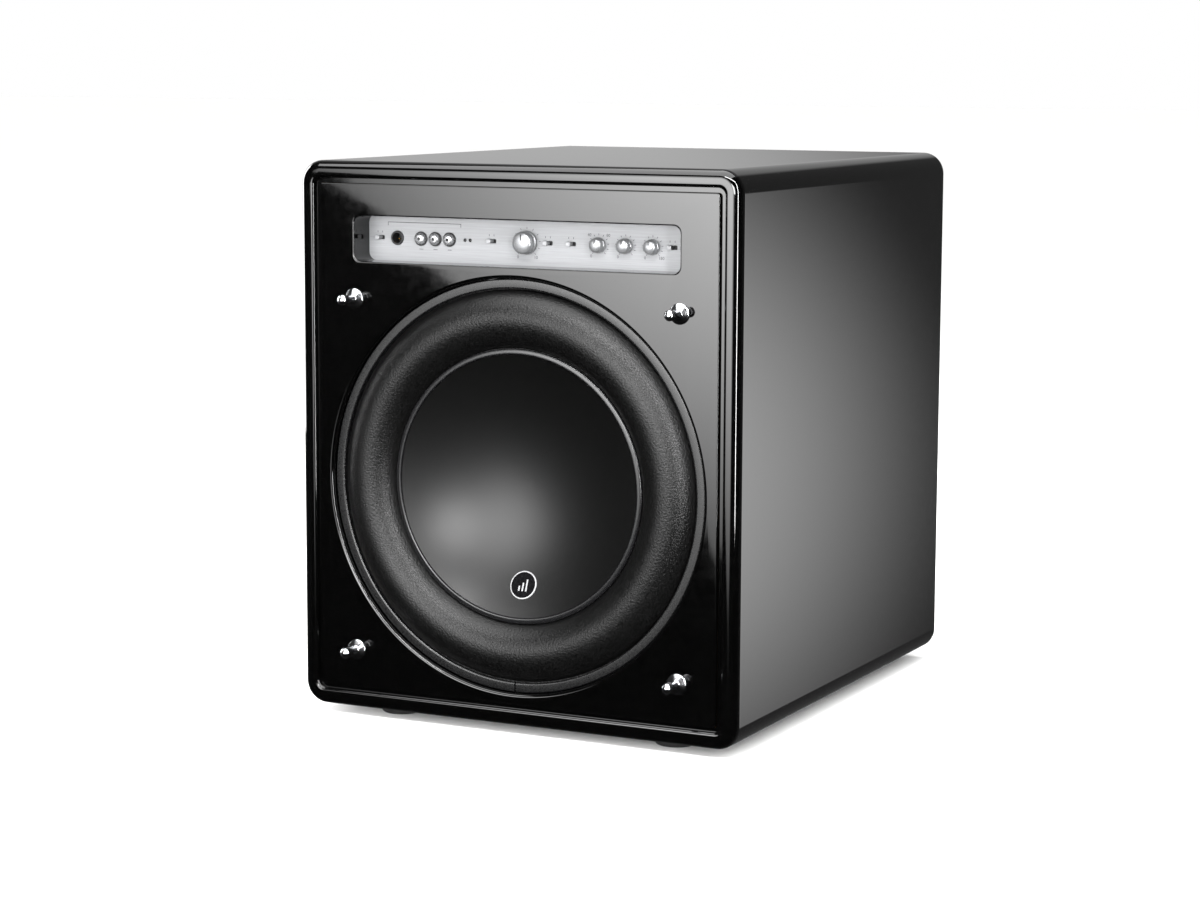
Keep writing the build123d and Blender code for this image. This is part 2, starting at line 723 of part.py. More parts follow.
for lever_name, slot_x in LEVER_X.items():
    rest_x = slot_x - LEVER_TRAVEL / 2
    with BuildPart() as lever:
        lever_length = LEVER_REACH + PLATE_T + LEVER_FOOT_L
        slab(LEVER_W, LEVER_H, LEVER_CORNER_R, PLATE_DEPTH - LEVER_REACH, lever_length, rest_x, PANEL_Z)
        tip_face = lever.faces().sort_by(Axis.Y)[0]
        fillet(tip_face.edges(), radius=0.5)
    save(lever, f"{lever_name}_lever")

# ================================================================ driver
screw_places = ring_places(DRIVER_SCREWS, SCREW_CIRCLE_R, 22.5)
flange_back = DRIVER_SEAT - GASKET_T

with BuildPart() as driver_basket:
    turn(
        [
            (FLANGE_INNER_R, FLANGE_DEPTH),
            (FLANGE_R, FLANGE_DEPTH),
            (FLANGE_R, flange_back),
            (DRIVER_CUT_R - 0.5, flange_back),
            (DRIVER_CUT_R - 0.5, flange_back + 6.0),
            (FLANGE_INNER_R, flange_back + 6.0),
        ]
    )
    neck_front = SPIDER_DEPTHS[0] + SPIDER_T + GLUE_GAP
    second_ledge = SPIDER_DEPTHS[1] + SPIDER_T + GLUE_GAP
    turn(
        [
            (SPIDER_R, neck_front),
            (SPIDER_R, TOP_PLATE_DEPTH),
            (COIL_R + 20.0, TOP_PLATE_DEPTH),
            (COIL_R + 20.0, TOP_PLATE_DEPTH - 4.0),
            (SECOND_LEDGE_R, TOP_PLATE_DEPTH - 4.0),
            (SECOND_LEDGE_R, second_ledge),
            (SPIDER_LEDGE_R, second_ledge),
            (SPIDER_LEDGE_R, neck_front),
        ]
    )
    arm_outline = [
        (FLANGE_INNER_R, flange_back),
        (DRIVER_CUT_R - 0.6, flange_back),
        (DRIVER_CUT_R - 0.6, flange_back + 9.0),
        (SPIDER_R + 6.0, neck_front + 14.0),
        (SPIDER_R - 3.0, neck_front + 14.0),
        (SPIDER_R - 3.0, neck_front + 6.0),
    ]
    for arm in range(BASKET_ARMS):
        turned_plane = section_plane(0, DRIVER_Z).rotated((0, 360 * arm / BASKET_ARMS, 0))
        with BuildSketch(turned_plane):
            with BuildLine():
                Polyline(*arm_outline, close=True)
            make_face()
        extrude(amount=ARM_W / 2, both=True)
    block(26.0, 14.0, neck_front + 4.0, 16.0, 0, DRIVER_Z + SPIDER_R + 5.0)
    drum(DRIVER_SCREW_R + 0.3, FLANGE_DEPTH, flange_back - FLANGE_DEPTH, screw_places, Mode.SUBTRACT)
save(driver_basket, "driver_basket")

with BuildPart() as driver_gasket:
    turn(
        [
            (DRIVER_CUT_R + 0.5, flange_back + 0.05),
            (FLANGE_R - 1.0, flange_back + 0.05),
            (FLANGE_R - 1.0, DRIVER_SEAT - 0.05),
            (DRIVER_CUT_R + 0.5, DRIVER_SEAT - 0.05),
        ]
    )
    drum(DRIVER_SCREW_R + 0.3, flange_back, GASKET_T, screw_places, Mode.SUBTRACT)
save(driver_gasket, "driver_gasket")

with BuildPart() as driver_screws:
    drum(DRIVER_SCREW_HEAD_R, FLANGE_DEPTH - 3.0, 2.95, screw_places)
    drum(DRIVER_SCREW_R, FLANGE_DEPTH - 1.0, DRIVER_SCREW_L, screw_places)
    drum(1.5, FLANGE_DEPTH - 3.0, 1.6, screw_places, Mode.SUBTRACT)
save(driver_screws, "driver_screws")

with BuildPart() as trim_ring:
    ring_back = SURROUND_DEPTH - 0.05
    inner_r = SURROUND_OUTER_R + 0.5
    outer_r = DRIVER_HOLE_R - 0.5
    turn(
        [
            (inner_r + 0.3, ring_back),
            (inner_r, TRIM_RING_DEPTH + 1.4),
            (inner_r + 0.5, TRIM_RING_DEPTH + 0.5),
            (inner_r + 1.6, TRIM_RING_DEPTH),
            (outer_r - 1.2, TRIM_RING_DEPTH),
            (outer_r, TRIM_RING_DEPTH + 1.0),
            (outer_r, ring_back),
            (outer_r - 0.9, ring_back),
            (outer_r - 0.9, TRIM_RING_DEPTH + TRIM_RING_T),
            (inner_r + 0.8, TRIM_RING_DEPTH + TRIM_RING_T),
            (inner_r + 0.8, ring_back),
        ]
    )
    block(1.2, 14.0, TRIM_RING_DEPTH, 6.0, 0, DRIVER_Z - (inner_r + outer_r) / 2, Mode.SUBTRACT)
save(trim_ring, "trim_ring")

with BuildPart() as surround:
    roll_middle = (SURROUND_OUTER_R + SURROUND_INNER_R) / 2
    half_span = (SURROUND_OUTER_R - SURROUND_INNER_R) / 2
    roll_r = (half_span**2 + SURROUND_CREST**2) / (2 * SURROUND_CREST)
    roll_centre = SURROUND_DEPTH - SURROUND_CREST + roll_r
    landing_back = SURROUND_DEPTH + SURROUND_T
    inner_span = sqrt((roll_r - SURROUND_T) ** 2 - (roll_centre - landing_back) ** 2)
    section = section_plane(0, DRIVER_Z)
    with BuildSketch(section):
        with BuildLine():
            Polyline(
                (roll_middle + inner_span, landing_back),
                (LANDING_OUTER_R, landing_back),
                (LANDING_OUTER_R, SURROUND_DEPTH),
                (SURROUND_OUTER_R, SURROUND_DEPTH),
            )
            ThreePointArc(
                (SURROUND_OUTER_R, SURROUND_DEPTH),
                (roll_middle, SURROUND_DEPTH - SURROUND_CREST),
                (SURROUND_INNER_R, SURROUND_DEPTH),
            )
            Polyline(
                (SURROUND_INNER_R, SURROUND_DEPTH),
                (DISH_R + 0.5, SURROUND_DEPTH),
                (DISH_R + 0.5, landing_back),
                (roll_middle - inner_span, landing_back),
            )
            ThreePointArc(
                (roll_middle - inner_span, landing_back),
                (roll_middle, SURROUND_DEPTH - SURROUND_CREST + SURROUND_T),
                (roll_middle + inner_span, landing_back),
            )
        make_face()
    revolve(axis=Axis(section.origin, (0, 1, 0)))
    drum(
        DRIVER_SCREW_HEAD_R + 0.2,
        SURROUND_DEPTH,
        SURROUND_T,
        screw_places,
        Mode.SUBTRACT,
    )
save(surround, "surround")

with BuildPart() as cone_ring:
    ring_inner_r = DISH_R + 0.2
    turn(
        [
            (ring_inner_r, SURROUND_DEPTH - GLUE_GAP),
            (ring_inner_r, SURROUND_DEPTH - 1.6),
            (ring_inner_r + 1.4, SURROUND_DEPTH - 2.8),
            (SURROUND_INNER_R - 1.4, SURROUND_DEPTH - 2.4),
            (SURROUND_INNER_R - 0.2, SURROUND_DEPTH - 1.2),
            (SURROUND_INNER_R - 0.2, SURROUND_DEPTH - GLUE_GAP),
        ]
    )
save(cone_ring, "cone_ring")


def dish_depth(radius):
    """Depth of the dish's front surface, which is part of a sphere, at a radius."""
    return DISH_CENTRE_DEPTH + sqrt(DISH_SPHERE_R**2 - radius**2)


with BuildPart() as dish_cone:
    skirt_r = DISH_R - DISH_T
    cone_front = FLANGE_DEPTH
    section = section_plane(0, DRIVER_Z)
    with BuildSketch(section):
        with BuildLine():
            ThreePointArc(
                (0, dish_depth(0)),
                (DISH_R / 2, dish_depth(DISH_R / 2)),
                (DISH_R, dish_depth(DISH_R)),
            )
            Polyline(
                (DISH_R, dish_depth(DISH_R)),
                (DISH_R, cone_front - GLUE_GAP),
                (skirt_r, cone_front - GLUE_GAP),
                (skirt_r, dish_depth(skirt_r) + DISH_T),
            )
            ThreePointArc(
                (skirt_r, dish_depth(skirt_r) + DISH_T),
                (skirt_r / 2, dish_depth(skirt_r / 2) + DISH_T),
                (0, dish_depth(0) + DISH_T),
            )
            Line((0, dish_depth(0) + DISH_T), (0, dish_depth(0)))
        make_face()
    revolve(axis=Axis(section.origin, (0, 1, 0)))
save(dish_cone, "dish_cone")

with BuildPart() as cone_body:
    neck_r = COIL_R + 0.2
    rim_r = SURROUND_INNER_R + 0.5
    turn(
        [
            (DISH_R - 2.0, FLANGE_DEPTH),
            (rim_r, FLANGE_DEPTH),
            (rim_r, FLANGE_DEPTH + CONE_T),
            (DISH_R, FLANGE_DEPTH + CONE_T),
            (neck_r + CONE_T, CONE_NECK_DEPTH),
            (neck_r + CONE_T, CONE_NECK_DEPTH + 4.0),
            (neck_r, CONE_NECK_DEPTH + 4.0),
            (neck_r, CONE_NECK_DEPTH - CONE_T),
        ]
    )
save(cone_body, "cone_body")

with BuildPart() as cone_badge:
    lean = dish_depth(BADGE_DROP) - DISH_CENTRE_DEPTH
    badge_plane = Plane(
        origin=(0, FRONT_Y + dish_depth(BADGE_DROP), DRIVER_Z - BADGE_DROP),
        x_dir=(1, 0, 0),
        z_dir=(0, -lean, BADGE_DROP),
    )
    badge_lift = BADGE_R**2 / (2 * DISH_SPHERE_R) + 0.05
    with BuildSketch(badge_plane.offset(badge_lift)):
        Circle(BADGE_R)
    extrude(amount=BADGE_T)
    fillet(cone_badge.edges().filter_by(GeomType.CIRCLE).sort_by(Axis.Y)[0], radius=0.4)
save(cone_badge, "cone_badge")

with BuildPart() as coil_former:
    former_front = CONE_NECK_DEPTH - 2.0
    turn(
        [
            (COIL_R - FORMER_T, former_front),
            (COIL_R, former_front),
            (COIL_R, FORMER_END),
            (COIL_R - FORMER_T, FORMER_END),
        ]
    )
save(coil_former, "coil_former")

with BuildPart() as voice_coil:
    turn(
        [
            (COIL_R + 0.05, FORMER_END - COIL_L),
            (COIL_R + COIL_T, FORMER_END - COIL_L),
            (COIL_R + COIL_T, FORMER_END - 0.5),
            (COIL_R + 0.05, FORMER_END - 0.5),
        ]
    )
save(voice_coil, "voice_coil")

with BuildPart() as spiders:
    spider_inner = COIL_R + 0.3
    inner_flat = 3.5
    spider_sizes = [
        (SPIDER_DEPTHS[0], SPIDER_R, NECK_WALL + 0.5),
        (SPIDER_DEPTHS[1], SPIDER_LEDGE_R - 0.2, SECOND_LEDGE_W + 0.5),
    ]
    for spider_depth, spider_outer, outer_flat in spider_sizes:
        step = (spider_outer - spider_inner - inner_flat - outer_flat) / (2 * SPIDER_WAVES)
        knots = [spider_inner + inner_flat + step * number for number in range(2 * SPIDER_WAVES + 1)]
        section = section_plane(0, DRIVER_Z)
        with BuildSketch(section):
            with BuildLine():
                for face_depth in (spider_depth, spider_depth + SPIDER_T):
                    Line((spider_inner, face_depth), (knots[0], face_depth))
                    for number in range(2 * SPIDER_WAVES):
                        swing = SPIDER_AMPLITUDE if number % 2 else -SPIDER_AMPLITUDE
                        ThreePointArc(
                            (knots[number], face_depth),
                            (knots[number] + step / 2, face_depth + swing),
                            (knots[number + 1], face_depth),
                        )
                    Line((knots[-1], face_depth), (spider_outer, face_depth))
                Line((spider_inner, spider_depth), (spider_inner, spider_depth + SPIDER_T))
                Line((spider_outer, spider_depth), (spider_outer, spider_depth + SPIDER_T))
            make_face()
        revolve(axis=Axis(section.origin, (0, 1, 0)))
save(spiders, "spiders")

with BuildPart() as tinsel_leads:
    for lead_x in (-6.0, 6.0):
        lead_points = [
            (lead_x, FRONT_Y + CONE_NECK_DEPTH + 10.0, DRIVER_Z + COIL_R + 2.0),
            (lead_x, FRONT_Y + CONE_NECK_DEPTH + 7.0, DRIVER_Z + COIL_R + 22.0),
            (lead_x, FRONT_Y + CONE_NECK_DEPTH + 10.0, DRIVER_Z + SPIDER_R - 20.0),
            (lead_x, FRONT_Y + CONE_NECK_DEPTH + 8.0, DRIVER_Z + SPIDER_R + 5.0),
            (lead_x, FRONT_Y + neck_front + 3.9, DRIVER_Z + SPIDER_R + 5.0),
        ]
        with BuildLine() as lead_path:
            FilletPolyline(*lead_points, radius=5.0)
        with BuildSketch(lead_path.line ^ 0):
            Circle(LEAD_R)
        sweep(path=lead_path.line)
save(tinsel_leads, "tinsel_leads")

with BuildPart() as top_plate:
    turn(
        [
            (GAP_R, TOP_PLATE_DEPTH + 0.05),
            (TOP_PLATE_R, TOP_PLATE_DEPTH + 0.05),
            (TOP_PLATE_R, MAGNET_DEPTH - 0.05),
            (GAP_R, MAGNET_DEPTH - 0.05),
        ]
    )
save(top_plate, "top_plate")

with BuildPart() as magnets:
    for number in range(MAGNETS):
        magnet_front = MAGNET_DEPTH + number * MAGNET_T + 0.05
        magnet_back = magnet_front + MAGNET_T - 0.1
        turn(
            [
                (MAGNET_BORE_R, magnet_front),
                (MAGNET_R, magnet_front),
                (MAGNET_R, magnet_back),
                (MAGNET_BORE_R, magnet_back),
            ]
        )
save(magnets, "magnets")

with BuildPart() as back_plate:
    turn(
        [
            (VENT_R, TOP_PLATE_DEPTH - 2.0),
            (POLE_R, TOP_PLATE_DEPTH - 2.0),
            (POLE_R, BACK_PLATE_DEPTH + 0.05),
            (BACK_PLATE_R, BACK_PLATE_DEPTH + 0.05),
            (BACK_PLATE_R, BACK_PLATE_DEPTH + BACK_PLATE_T),
            (VENT_R, BACK_PLATE_DEPTH + BACK_PLATE_T),
        ]
    )
save(back_plate, "back_plate")

# ================================================================ amplifier and rear
with BuildPart() as amp_plate:
    slab(AMP_W, AMP_H, AMP_R, CABINET_D, AMP_PLATE_T, z=AMP_Z)
    for fin in range(FIN_COUNT):
        fin_x = (fin - (FIN_COUNT - 1) / 2) * FIN_PITCH
        block(FIN_T, FIN_L, REAR_FACE, FIN_H, fin_x, AMP_Z + FIN_RAISE)
    input_places = [(XLR_X["left_in"], SOCKET_Z), (XLR_X["right_in"], SOCKET_Z)]
    output_place = (XLR_X["out"], SOCKET_Z)
    rca_places = [(x, SOCKET_Z) for x in RCA_X]
    drum(XLR_BODY_R + 0.2, CABINET_D, AMP_PLATE_T, [*input_places, output_place], Mode.SUBTRACT)
    drum(RCA_R + 0.2, CABINET_D, AMP_PLATE_T, rca_places, Mode.SUBTRACT)
    drum(AMP_SCREW_R + 0.3, CABINET_D, AMP_PLATE_T, amp_screw_places, Mode.SUBTRACT)
    block(
        INLET_CUT_W + 0.4,
        INLET_CUT_H + 0.4,
        CABINET_D,
        AMP_PLATE_T,
        INLET_X,
        SOCKET_Z,
        Mode.SUBTRACT,
    )
    slab(SLOT_W, SLOT_H, SLOT_R, CABINET_D, AMP_PLATE_T, MODE_SWITCH_X, SOCKET_Z, Mode.SUBTRACT)
save(amp_plate, "amp_plate")

with BuildPart() as amp_screws:
    drum(AMP_SCREW_R, CABINET_D - 14.0, 14.0 + AMP_PLATE_T + 0.5, amp_screw_places)
    drum(AMP_SCREW_HEAD_R, SOCKET_SEAT, 2.6, amp_screw_places)
    drum(1.8, REAR_FACE + 1.2, 1.6, amp_screw_places, Mode.SUBTRACT)
save(amp_screws, "amp_screws")

with BuildPart() as amp_chassis:
    slab(CHASSIS_W, CHASSIS_H, 3.0, CHASSIS_DEPTH, CHASSIS_D - GLUE_GAP, z=AMP_Z)
    slab(
        CHASSIS_W - 2 * CHASSIS_WALL,
        CHASSIS_H - 2 * CHASSIS_WALL,
        3.0 - CHASSIS_WALL,
        CHASSIS_DEPTH + CHASSIS_WALL,
        CHASSIS_D,
        z=AMP_Z,
        mode=Mode.SUBTRACT,
    )
save(amp_chassis, "amp_chassis")

with BuildPart() as amp_board:
    board_start = CHASSIS_DEPTH + CHASSIS_WALL + 8.0
    slab(CHASSIS_W - 20.0, CHASSIS_H * 0.5, 3.0, board_start, BOARD_T, z=AMP_Z + CHASSIS_H * 0.2)
save(amp_board, "amp_board")

with BuildPart() as transformer:
    toroid_x = -CHASSIS_W / 4
    toroid_z = AMP_Z - CHASSIS_H / 4
    toroid_front = CHASSIS_DEPTH + CHASSIS_WALL + 0.5
    turn(
        [
            (TOROID_BORE_R, toroid_front),
            (TOROID_R - TOROID_EASE, toroid_front),
            (TOROID_R, toroid_front + TOROID_EASE),
            (TOROID_R, toroid_front + TOROID_H - TOROID_EASE),
            (TOROID_R - TOROID_EASE, toroid_front + TOROID_H),
            (TOROID_BORE_R, toroid_front + TOROID_H),
        ],
        toroid_x,
        toroid_z,
    )
save(transformer, "transformer")

with BuildPart() as capacitors:
    can_places = [
        (30.0 + CAN_PITCH * (n % 3), AMP_Z - CHASSIS_H / 4 + CAN_PITCH * (n // 3)) for n in range(6)
    ]
    drum(CAN_R, CHASSIS_DEPTH + CHASSIS_WALL + 0.5, CAN_H, can_places)
save(capacitors, "capacitors")

with BuildPart() as xlr_sockets:
    for socket_x, socket_z in [*input_places, output_place]:
        slab(XLR_FLANGE_W, XLR_FLANGE_H, 3.0, SOCKET_SEAT, XLR_FLANGE_T, socket_x, socket_z)
        drum(XLR_BODY_R, REAR_FACE - SOCKET_L, SOCKET_L + 0.5, [(socket_x, socket_z)])
    socket_rear = SOCKET_SEAT + XLR_FLANGE_T
    for socket_place in input_places:
        turn(
            [
                (XLR_CORE_R, socket_rear - XLR_RECESS),
                (XLR_BORE_R, socket_rear - XLR_RECESS),
                (XLR_BORE_R, socket_rear),
                (XLR_CORE_R, socket_rear),
            ],
            *socket_place,
            mode=Mode.SUBTRACT,
        )
        pin_holes = ring_places(3, XLR_PIN_CIRCLE_R, 90.0, *socket_place)
        drum(XLR_PIN_R + 0.2, socket_rear - XLR_RECESS, XLR_RECESS, pin_holes, Mode.SUBTRACT)
    drum(XLR_BORE_R, socket_rear - XLR_BORE_L, XLR_BORE_L, [output_place], Mode.SUBTRACT)
    pin_places = ring_places(3, XLR_PIN_CIRCLE_R, 90.0, *output_place)
    drum(XLR_PIN_R, socket_rear - XLR_BORE_L - 0.5, XLR_PIN_REACH + 0.5, pin_places)
save(xlr_sockets, "xlr_sockets")

with BuildPart() as rca_jacks:
    for jack_x, jack_z in rca_places:
        drum(RCA_R + 1.9, SOCKET_SEAT, 1.0, [(jack_x, jack_z)])
        drum(RCA_R, REAR_FACE - 12.0, 12.0 + FIN_H, [(jack_x, jack_z)])
        drum(RCA_HOLE_R, REAR_FACE + FIN_H - 8.0, 8.0, [(jack_x, jack_z)], Mode.SUBTRACT)
save(rca_jacks, "rca_jacks")

with BuildPart() as mains_inlet:
    inlet_rear = SOCKET_SEAT + INLET_FLANGE_T
    slab(INLET_W, INLET_H, 2.0, SOCKET_SEAT, INLET_FLANGE_T, INLET_X, SOCKET_Z)
    block(INLET_CUT_W, INLET_CUT_H, REAR_FACE - SOCKET_L, SOCKET_L + 0.5, INLET_X, SOCKET_Z)
    slab(
        INLET_BORE_W,
        INLET_BORE_H,
        2.5,
        inlet_rear - INLET_BORE_L,
        INLET_BORE_L,
        INLET_X,
        SOCKET_Z,
        Mode.SUBTRACT,
    )
    for blade_x, blade_z in [(0, 2.5), (-7.0, -2.5), (7.0, -2.5)]:
        block(
            2.0,
            4.0,
            inlet_rear - INLET_BORE_L - 0.5,
            11.5,
            INLET_X + blade_x,
            SOCKET_Z + blade_z,
        )
save(mains_inlet, "mains_inlet")

with BuildPart() as mode_lever:
    lever_length = LEVER_FOOT_L + AMP_PLATE_T + LEVER_REACH
    rest_x = MODE_SWITCH_X - LEVER_TRAVEL / 2
    slab(LEVER_W, LEVER_H, LEVER_CORNER_R, CABINET_D - LEVER_FOOT_L, lever_length, rest_x, SOCKET_Z)
    fillet(mode_lever.faces().sort_by(Axis.Y)[-1].edges(), radius=0.5)
save(mode_lever, "mode_lever")

with BuildPart() as internal_cables:
    control_z = PANEL_Z - 12.0
    control_points = [
        (100.0, FRONT_Y + BOX_BACK + 0.2, control_z),
        (100.0, FRONT_Y + BOX_BACK + 60.0, control_z),
        (100.0, FRONT_Y + CHASSIS_DEPTH - 60.0, control_z - 28.0),
        (100.0, FRONT_Y + CHASSIS_DEPTH - 0.2, control_z - 28.0),
    ]
    boss_back = neck_front + 20.0
    driver_points = [
        (0.0, FRONT_Y + boss_back + 0.2, DRIVER_Z + SPIDER_R + 6.0),
        (0.0, FRONT_Y + boss_back + 90.0, DRIVER_Z + SPIDER_R + 6.0),
        (-30.0, FRONT_Y + CHASSIS_DEPTH - 80.0, DRIVER_Z + 60.0),
        (-30.0, FRONT_Y + CHASSIS_DEPTH - 0.2, DRIVER_Z + 60.0),
    ]
    for cable_points in (control_points, driver_points):
        with BuildLine() as cable_path:
            FilletPolyline(*cable_points, radius=60.0)
        with BuildSketch(cable_path.line ^ 0):
            Circle(CABLE_R)
        sweep(path=cable_path.line)
save(internal_cables, "internal_cables")
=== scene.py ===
from math import asin, cos, pi, radians, sin, sqrt

import bmesh
import bpy
from mathutils import Matrix, Vector


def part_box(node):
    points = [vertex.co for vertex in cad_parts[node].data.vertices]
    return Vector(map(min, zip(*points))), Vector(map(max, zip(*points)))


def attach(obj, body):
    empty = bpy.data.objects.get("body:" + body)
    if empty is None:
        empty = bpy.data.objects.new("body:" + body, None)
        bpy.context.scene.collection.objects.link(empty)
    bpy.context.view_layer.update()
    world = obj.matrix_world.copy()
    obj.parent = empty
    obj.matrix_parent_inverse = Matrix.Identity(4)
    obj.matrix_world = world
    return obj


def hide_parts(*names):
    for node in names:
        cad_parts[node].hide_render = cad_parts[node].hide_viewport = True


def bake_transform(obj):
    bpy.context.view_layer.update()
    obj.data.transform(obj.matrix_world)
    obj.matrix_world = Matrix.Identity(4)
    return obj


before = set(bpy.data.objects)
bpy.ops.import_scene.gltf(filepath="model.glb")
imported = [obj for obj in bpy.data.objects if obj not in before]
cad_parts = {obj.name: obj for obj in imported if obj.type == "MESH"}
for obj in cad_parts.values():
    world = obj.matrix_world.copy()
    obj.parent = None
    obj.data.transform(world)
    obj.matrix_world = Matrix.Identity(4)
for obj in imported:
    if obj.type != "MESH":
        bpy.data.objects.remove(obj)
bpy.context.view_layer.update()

# Powered subwoofer. Shapes are worked in millimetres and turned into metres when a piece is
# finished. A depth is measured backwards from the front of the cabinet's rim.
FRONT_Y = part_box("cabinet_shell")[0].y * 1000
BOTTOM_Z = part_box("cabinet_shell")[0].z * 1000
scene = bpy.context.scene

# ---------------------------------------------------------------- camera
# A long portrait lens, to the right of the cabinet and a little above its middle.
camera_lens = bpy.data.cameras.new("studio_camera")
camera_lens.lens = 86.1
camera_lens.sensor_width = 36.0
camera = bpy.data.objects.new("studio_camera", camera_lens)
camera.matrix_world = (
    Matrix.Translation((1.1376, -2.3561, 0.5788))
    @ Matrix.Rotation(radians(26.42), 4, "Z")
    @ Matrix.Rotation(radians(90.0 - 7.81), 4, "X")
    @ Matrix.Rotation(radians(0.22), 4, "Z")
)
scene.collection.objects.link(camera)
scene.camera = camera


# ---------------------------------------------------------------- studio floor
# A seamless sweep of matt white paper under the cabinet. It is lit evenly from above.
def to_linear(code):
    """Linear red, green, blue and alpha of an sRGB hex code."""
    channels = [int(code[place : place + 2], 16) / 255 for place in (0, 2, 4)]
    return [c / 12.92 if c <= 0.04045 else ((c + 0.055) / 1.055) ** 2.4 for c in channels] + [1.0]


def add_node(tree, kind, settings=None, values=None, links=None):
    """One node with its settings, its socket values and the links into it."""
    node = tree.nodes.new(kind)
    for name, setting in (settings or {}).items():
        setattr(node, name, setting)
    for name, value in (values or {}).items():
        node.inputs[name].default_value = value
    for name, source in (links or {}).items():
        tree.links.new(source, node.inputs[name])
    return node


def grained_finish(
    name, dark, light, grain, relief, gloss, spread=0.04, metal=0.0, ior=1.5, shine=0.5, stretch=(1, 1, 1)
):
    """A surface whose colour, gloss and relief vary with a grain of one size in millimetres."""
    finish = bpy.data.materials.new(name)
    finish.use_nodes = True
    tree = finish.node_tree
    shader = tree.nodes["Principled BSDF"]
    shader.inputs["Metallic"].default_value = metal
    shader.inputs["Specular IOR Level"].default_value = shine
    if metal < 0.5:
        shader.inputs["IOR"].default_value = ior
    place = add_node(tree, "ShaderNodeTexCoord")
    scaled = add_node(
        tree,
        "ShaderNodeMapping",
        values={"Scale": [1000.0 / grain * along for along in stretch]},
        links={"Vector": place.outputs["Object"]},
    )
    grains = add_node(
        tree,
        "ShaderNodeTexNoise",
        values={"Scale": 1.0, "Detail": 3.0, "Roughness": 0.6},
        links={"Vector": scaled.outputs["Vector"]},
    )
    swing = add_node(
        tree,
        "ShaderNodeMapRange",
        values={"From Min": 0.3, "From Max": 0.7},
        links={"Value": grains.outputs["Fac"]},
    )
    tint = add_node(
        tree,
        "ShaderNodeMix",
        settings={"data_type": "RGBA"},
        values={6: to_linear(dark), 7: to_linear(light)},
        links={0: swing.outputs["Result"]},
    )
    polish = add_node(
        tree,
        "ShaderNodeMapRange",
        values={"To Min": max(gloss - spread, 0.02), "To Max": gloss + spread},
        links={"Value": swing.outputs["Result"]},
    )
    relief_map = add_node(
        tree,
        "ShaderNodeBump",
        values={"Strength": 1.0, "Distance": relief / 1000.0},
        links={"Height": grains.outputs["Fac"]},
    )
    tree.links.new(tint.outputs[2], shader.inputs["Base Color"])
    tree.links.new(polish.outputs["Result"], shader.inputs["Roughness"])
    tree.links.new(relief_map.outputs["Normal"], shader.inputs["Normal"])
    return finish


paper = grained_finish("white_paper", "fbfbfa", "fefefd", 6.0, 0.01, 0.9, shine=0.1)
sweep_shape = bmesh.new()
bmesh.ops.create_grid(sweep_shape, x_segments=8, y_segments=8, size=30.0)
sweep_mesh = bpy.data.meshes.new("paper_sweep")
sweep_shape.to_mesh(sweep_mesh)
sweep_shape.free()
sweep_mesh.materials.append(paper)
paper_sweep = bpy.data.objects.new("paper_sweep", sweep_mesh)
scene.collection.objects.link(paper_sweep)
paper_sweep.visible_glossy = False

# ---------------------------------------------------------------- studio light
# Soft boxes: a large one at the front left that fades away from its hot spot, a small one in
# front, one overhead and one at the left. Two narrow strips light the round edges. The room is
# dark, but for a pale back left part and a soft glow at the back right, seen in the sides.
scene.view_settings.view_transform = "Standard"
soft_boxes = {
    "front_left_box": ((-0.75, -3.10, 0.69), (2.0, 2.0), 45.0, 84.0),
    "front_box": ((0.32, -3.1, 0.75), (0.8, 0.8), 0.0, 50.0),
    "overhead_box": ((-0.2, -0.9, 2.7), (2.6, 3.4), 0.0, 150.0),
    "upper_front_strip": ((0.7, -2.3, 2.3), (2.4, 0.2), 0.0, 85.0),
    "right_strip": ((1.95, -2.05, 0.9), (0.16, 2.4), 0.0, 100.0),
    "left_box": ((-2.5, 0.3, 0.8), (1.2, 1.8), 0.0, 70.0),
}
for box_name, (box_place, box_size, box_turn, box_power) in soft_boxes.items():
    box_light = bpy.data.lights.new(box_name, "AREA")
    box_light.shape = "RECTANGLE"
    box_light.size, box_light.size_y = box_size
    box_light.energy = box_power
    soft_box = bpy.data.objects.new(box_name, box_light)
    aim = Vector((0.0, -0.2, 0.25)) - Vector(box_place)
    soft_box.matrix_world = (
        Matrix.Translation(box_place)
        @ aim.to_track_quat("-Z", "Y").to_matrix().to_4x4()
        @ Matrix.Rotation(radians(box_turn), 4, "Z")
    )
    soft_box.visible_camera = False
    scene.collection.objects.link(soft_box)

hot_spot = (-0.9, -3.1, 0.6)
fading = bpy.data.lights["front_left_box"]
fading.use_nodes = True
light_spot = add_node(fading.node_tree, "ShaderNodeNewGeometry")
from_hot_spot = add_node(
    fading.node_tree,
    "ShaderNodeVectorMath",
    settings={"operation": "DISTANCE"},
    values={1: hot_spot},
    links={0: light_spot.outputs["Position"]},
)
fade = add_node(
    fading.node_tree,
    "ShaderNodeMapRange",
    values={"From Min": 0.3, "From Max": 1.12, "To Min": 1.85, "To Max": 0.05},
    links={"Value": from_hot_spot.outputs["Value"]},
)
fading.node_tree.links.new(fade.outputs["Result"], fading.node_tree.nodes["Emission"].inputs["Strength"])

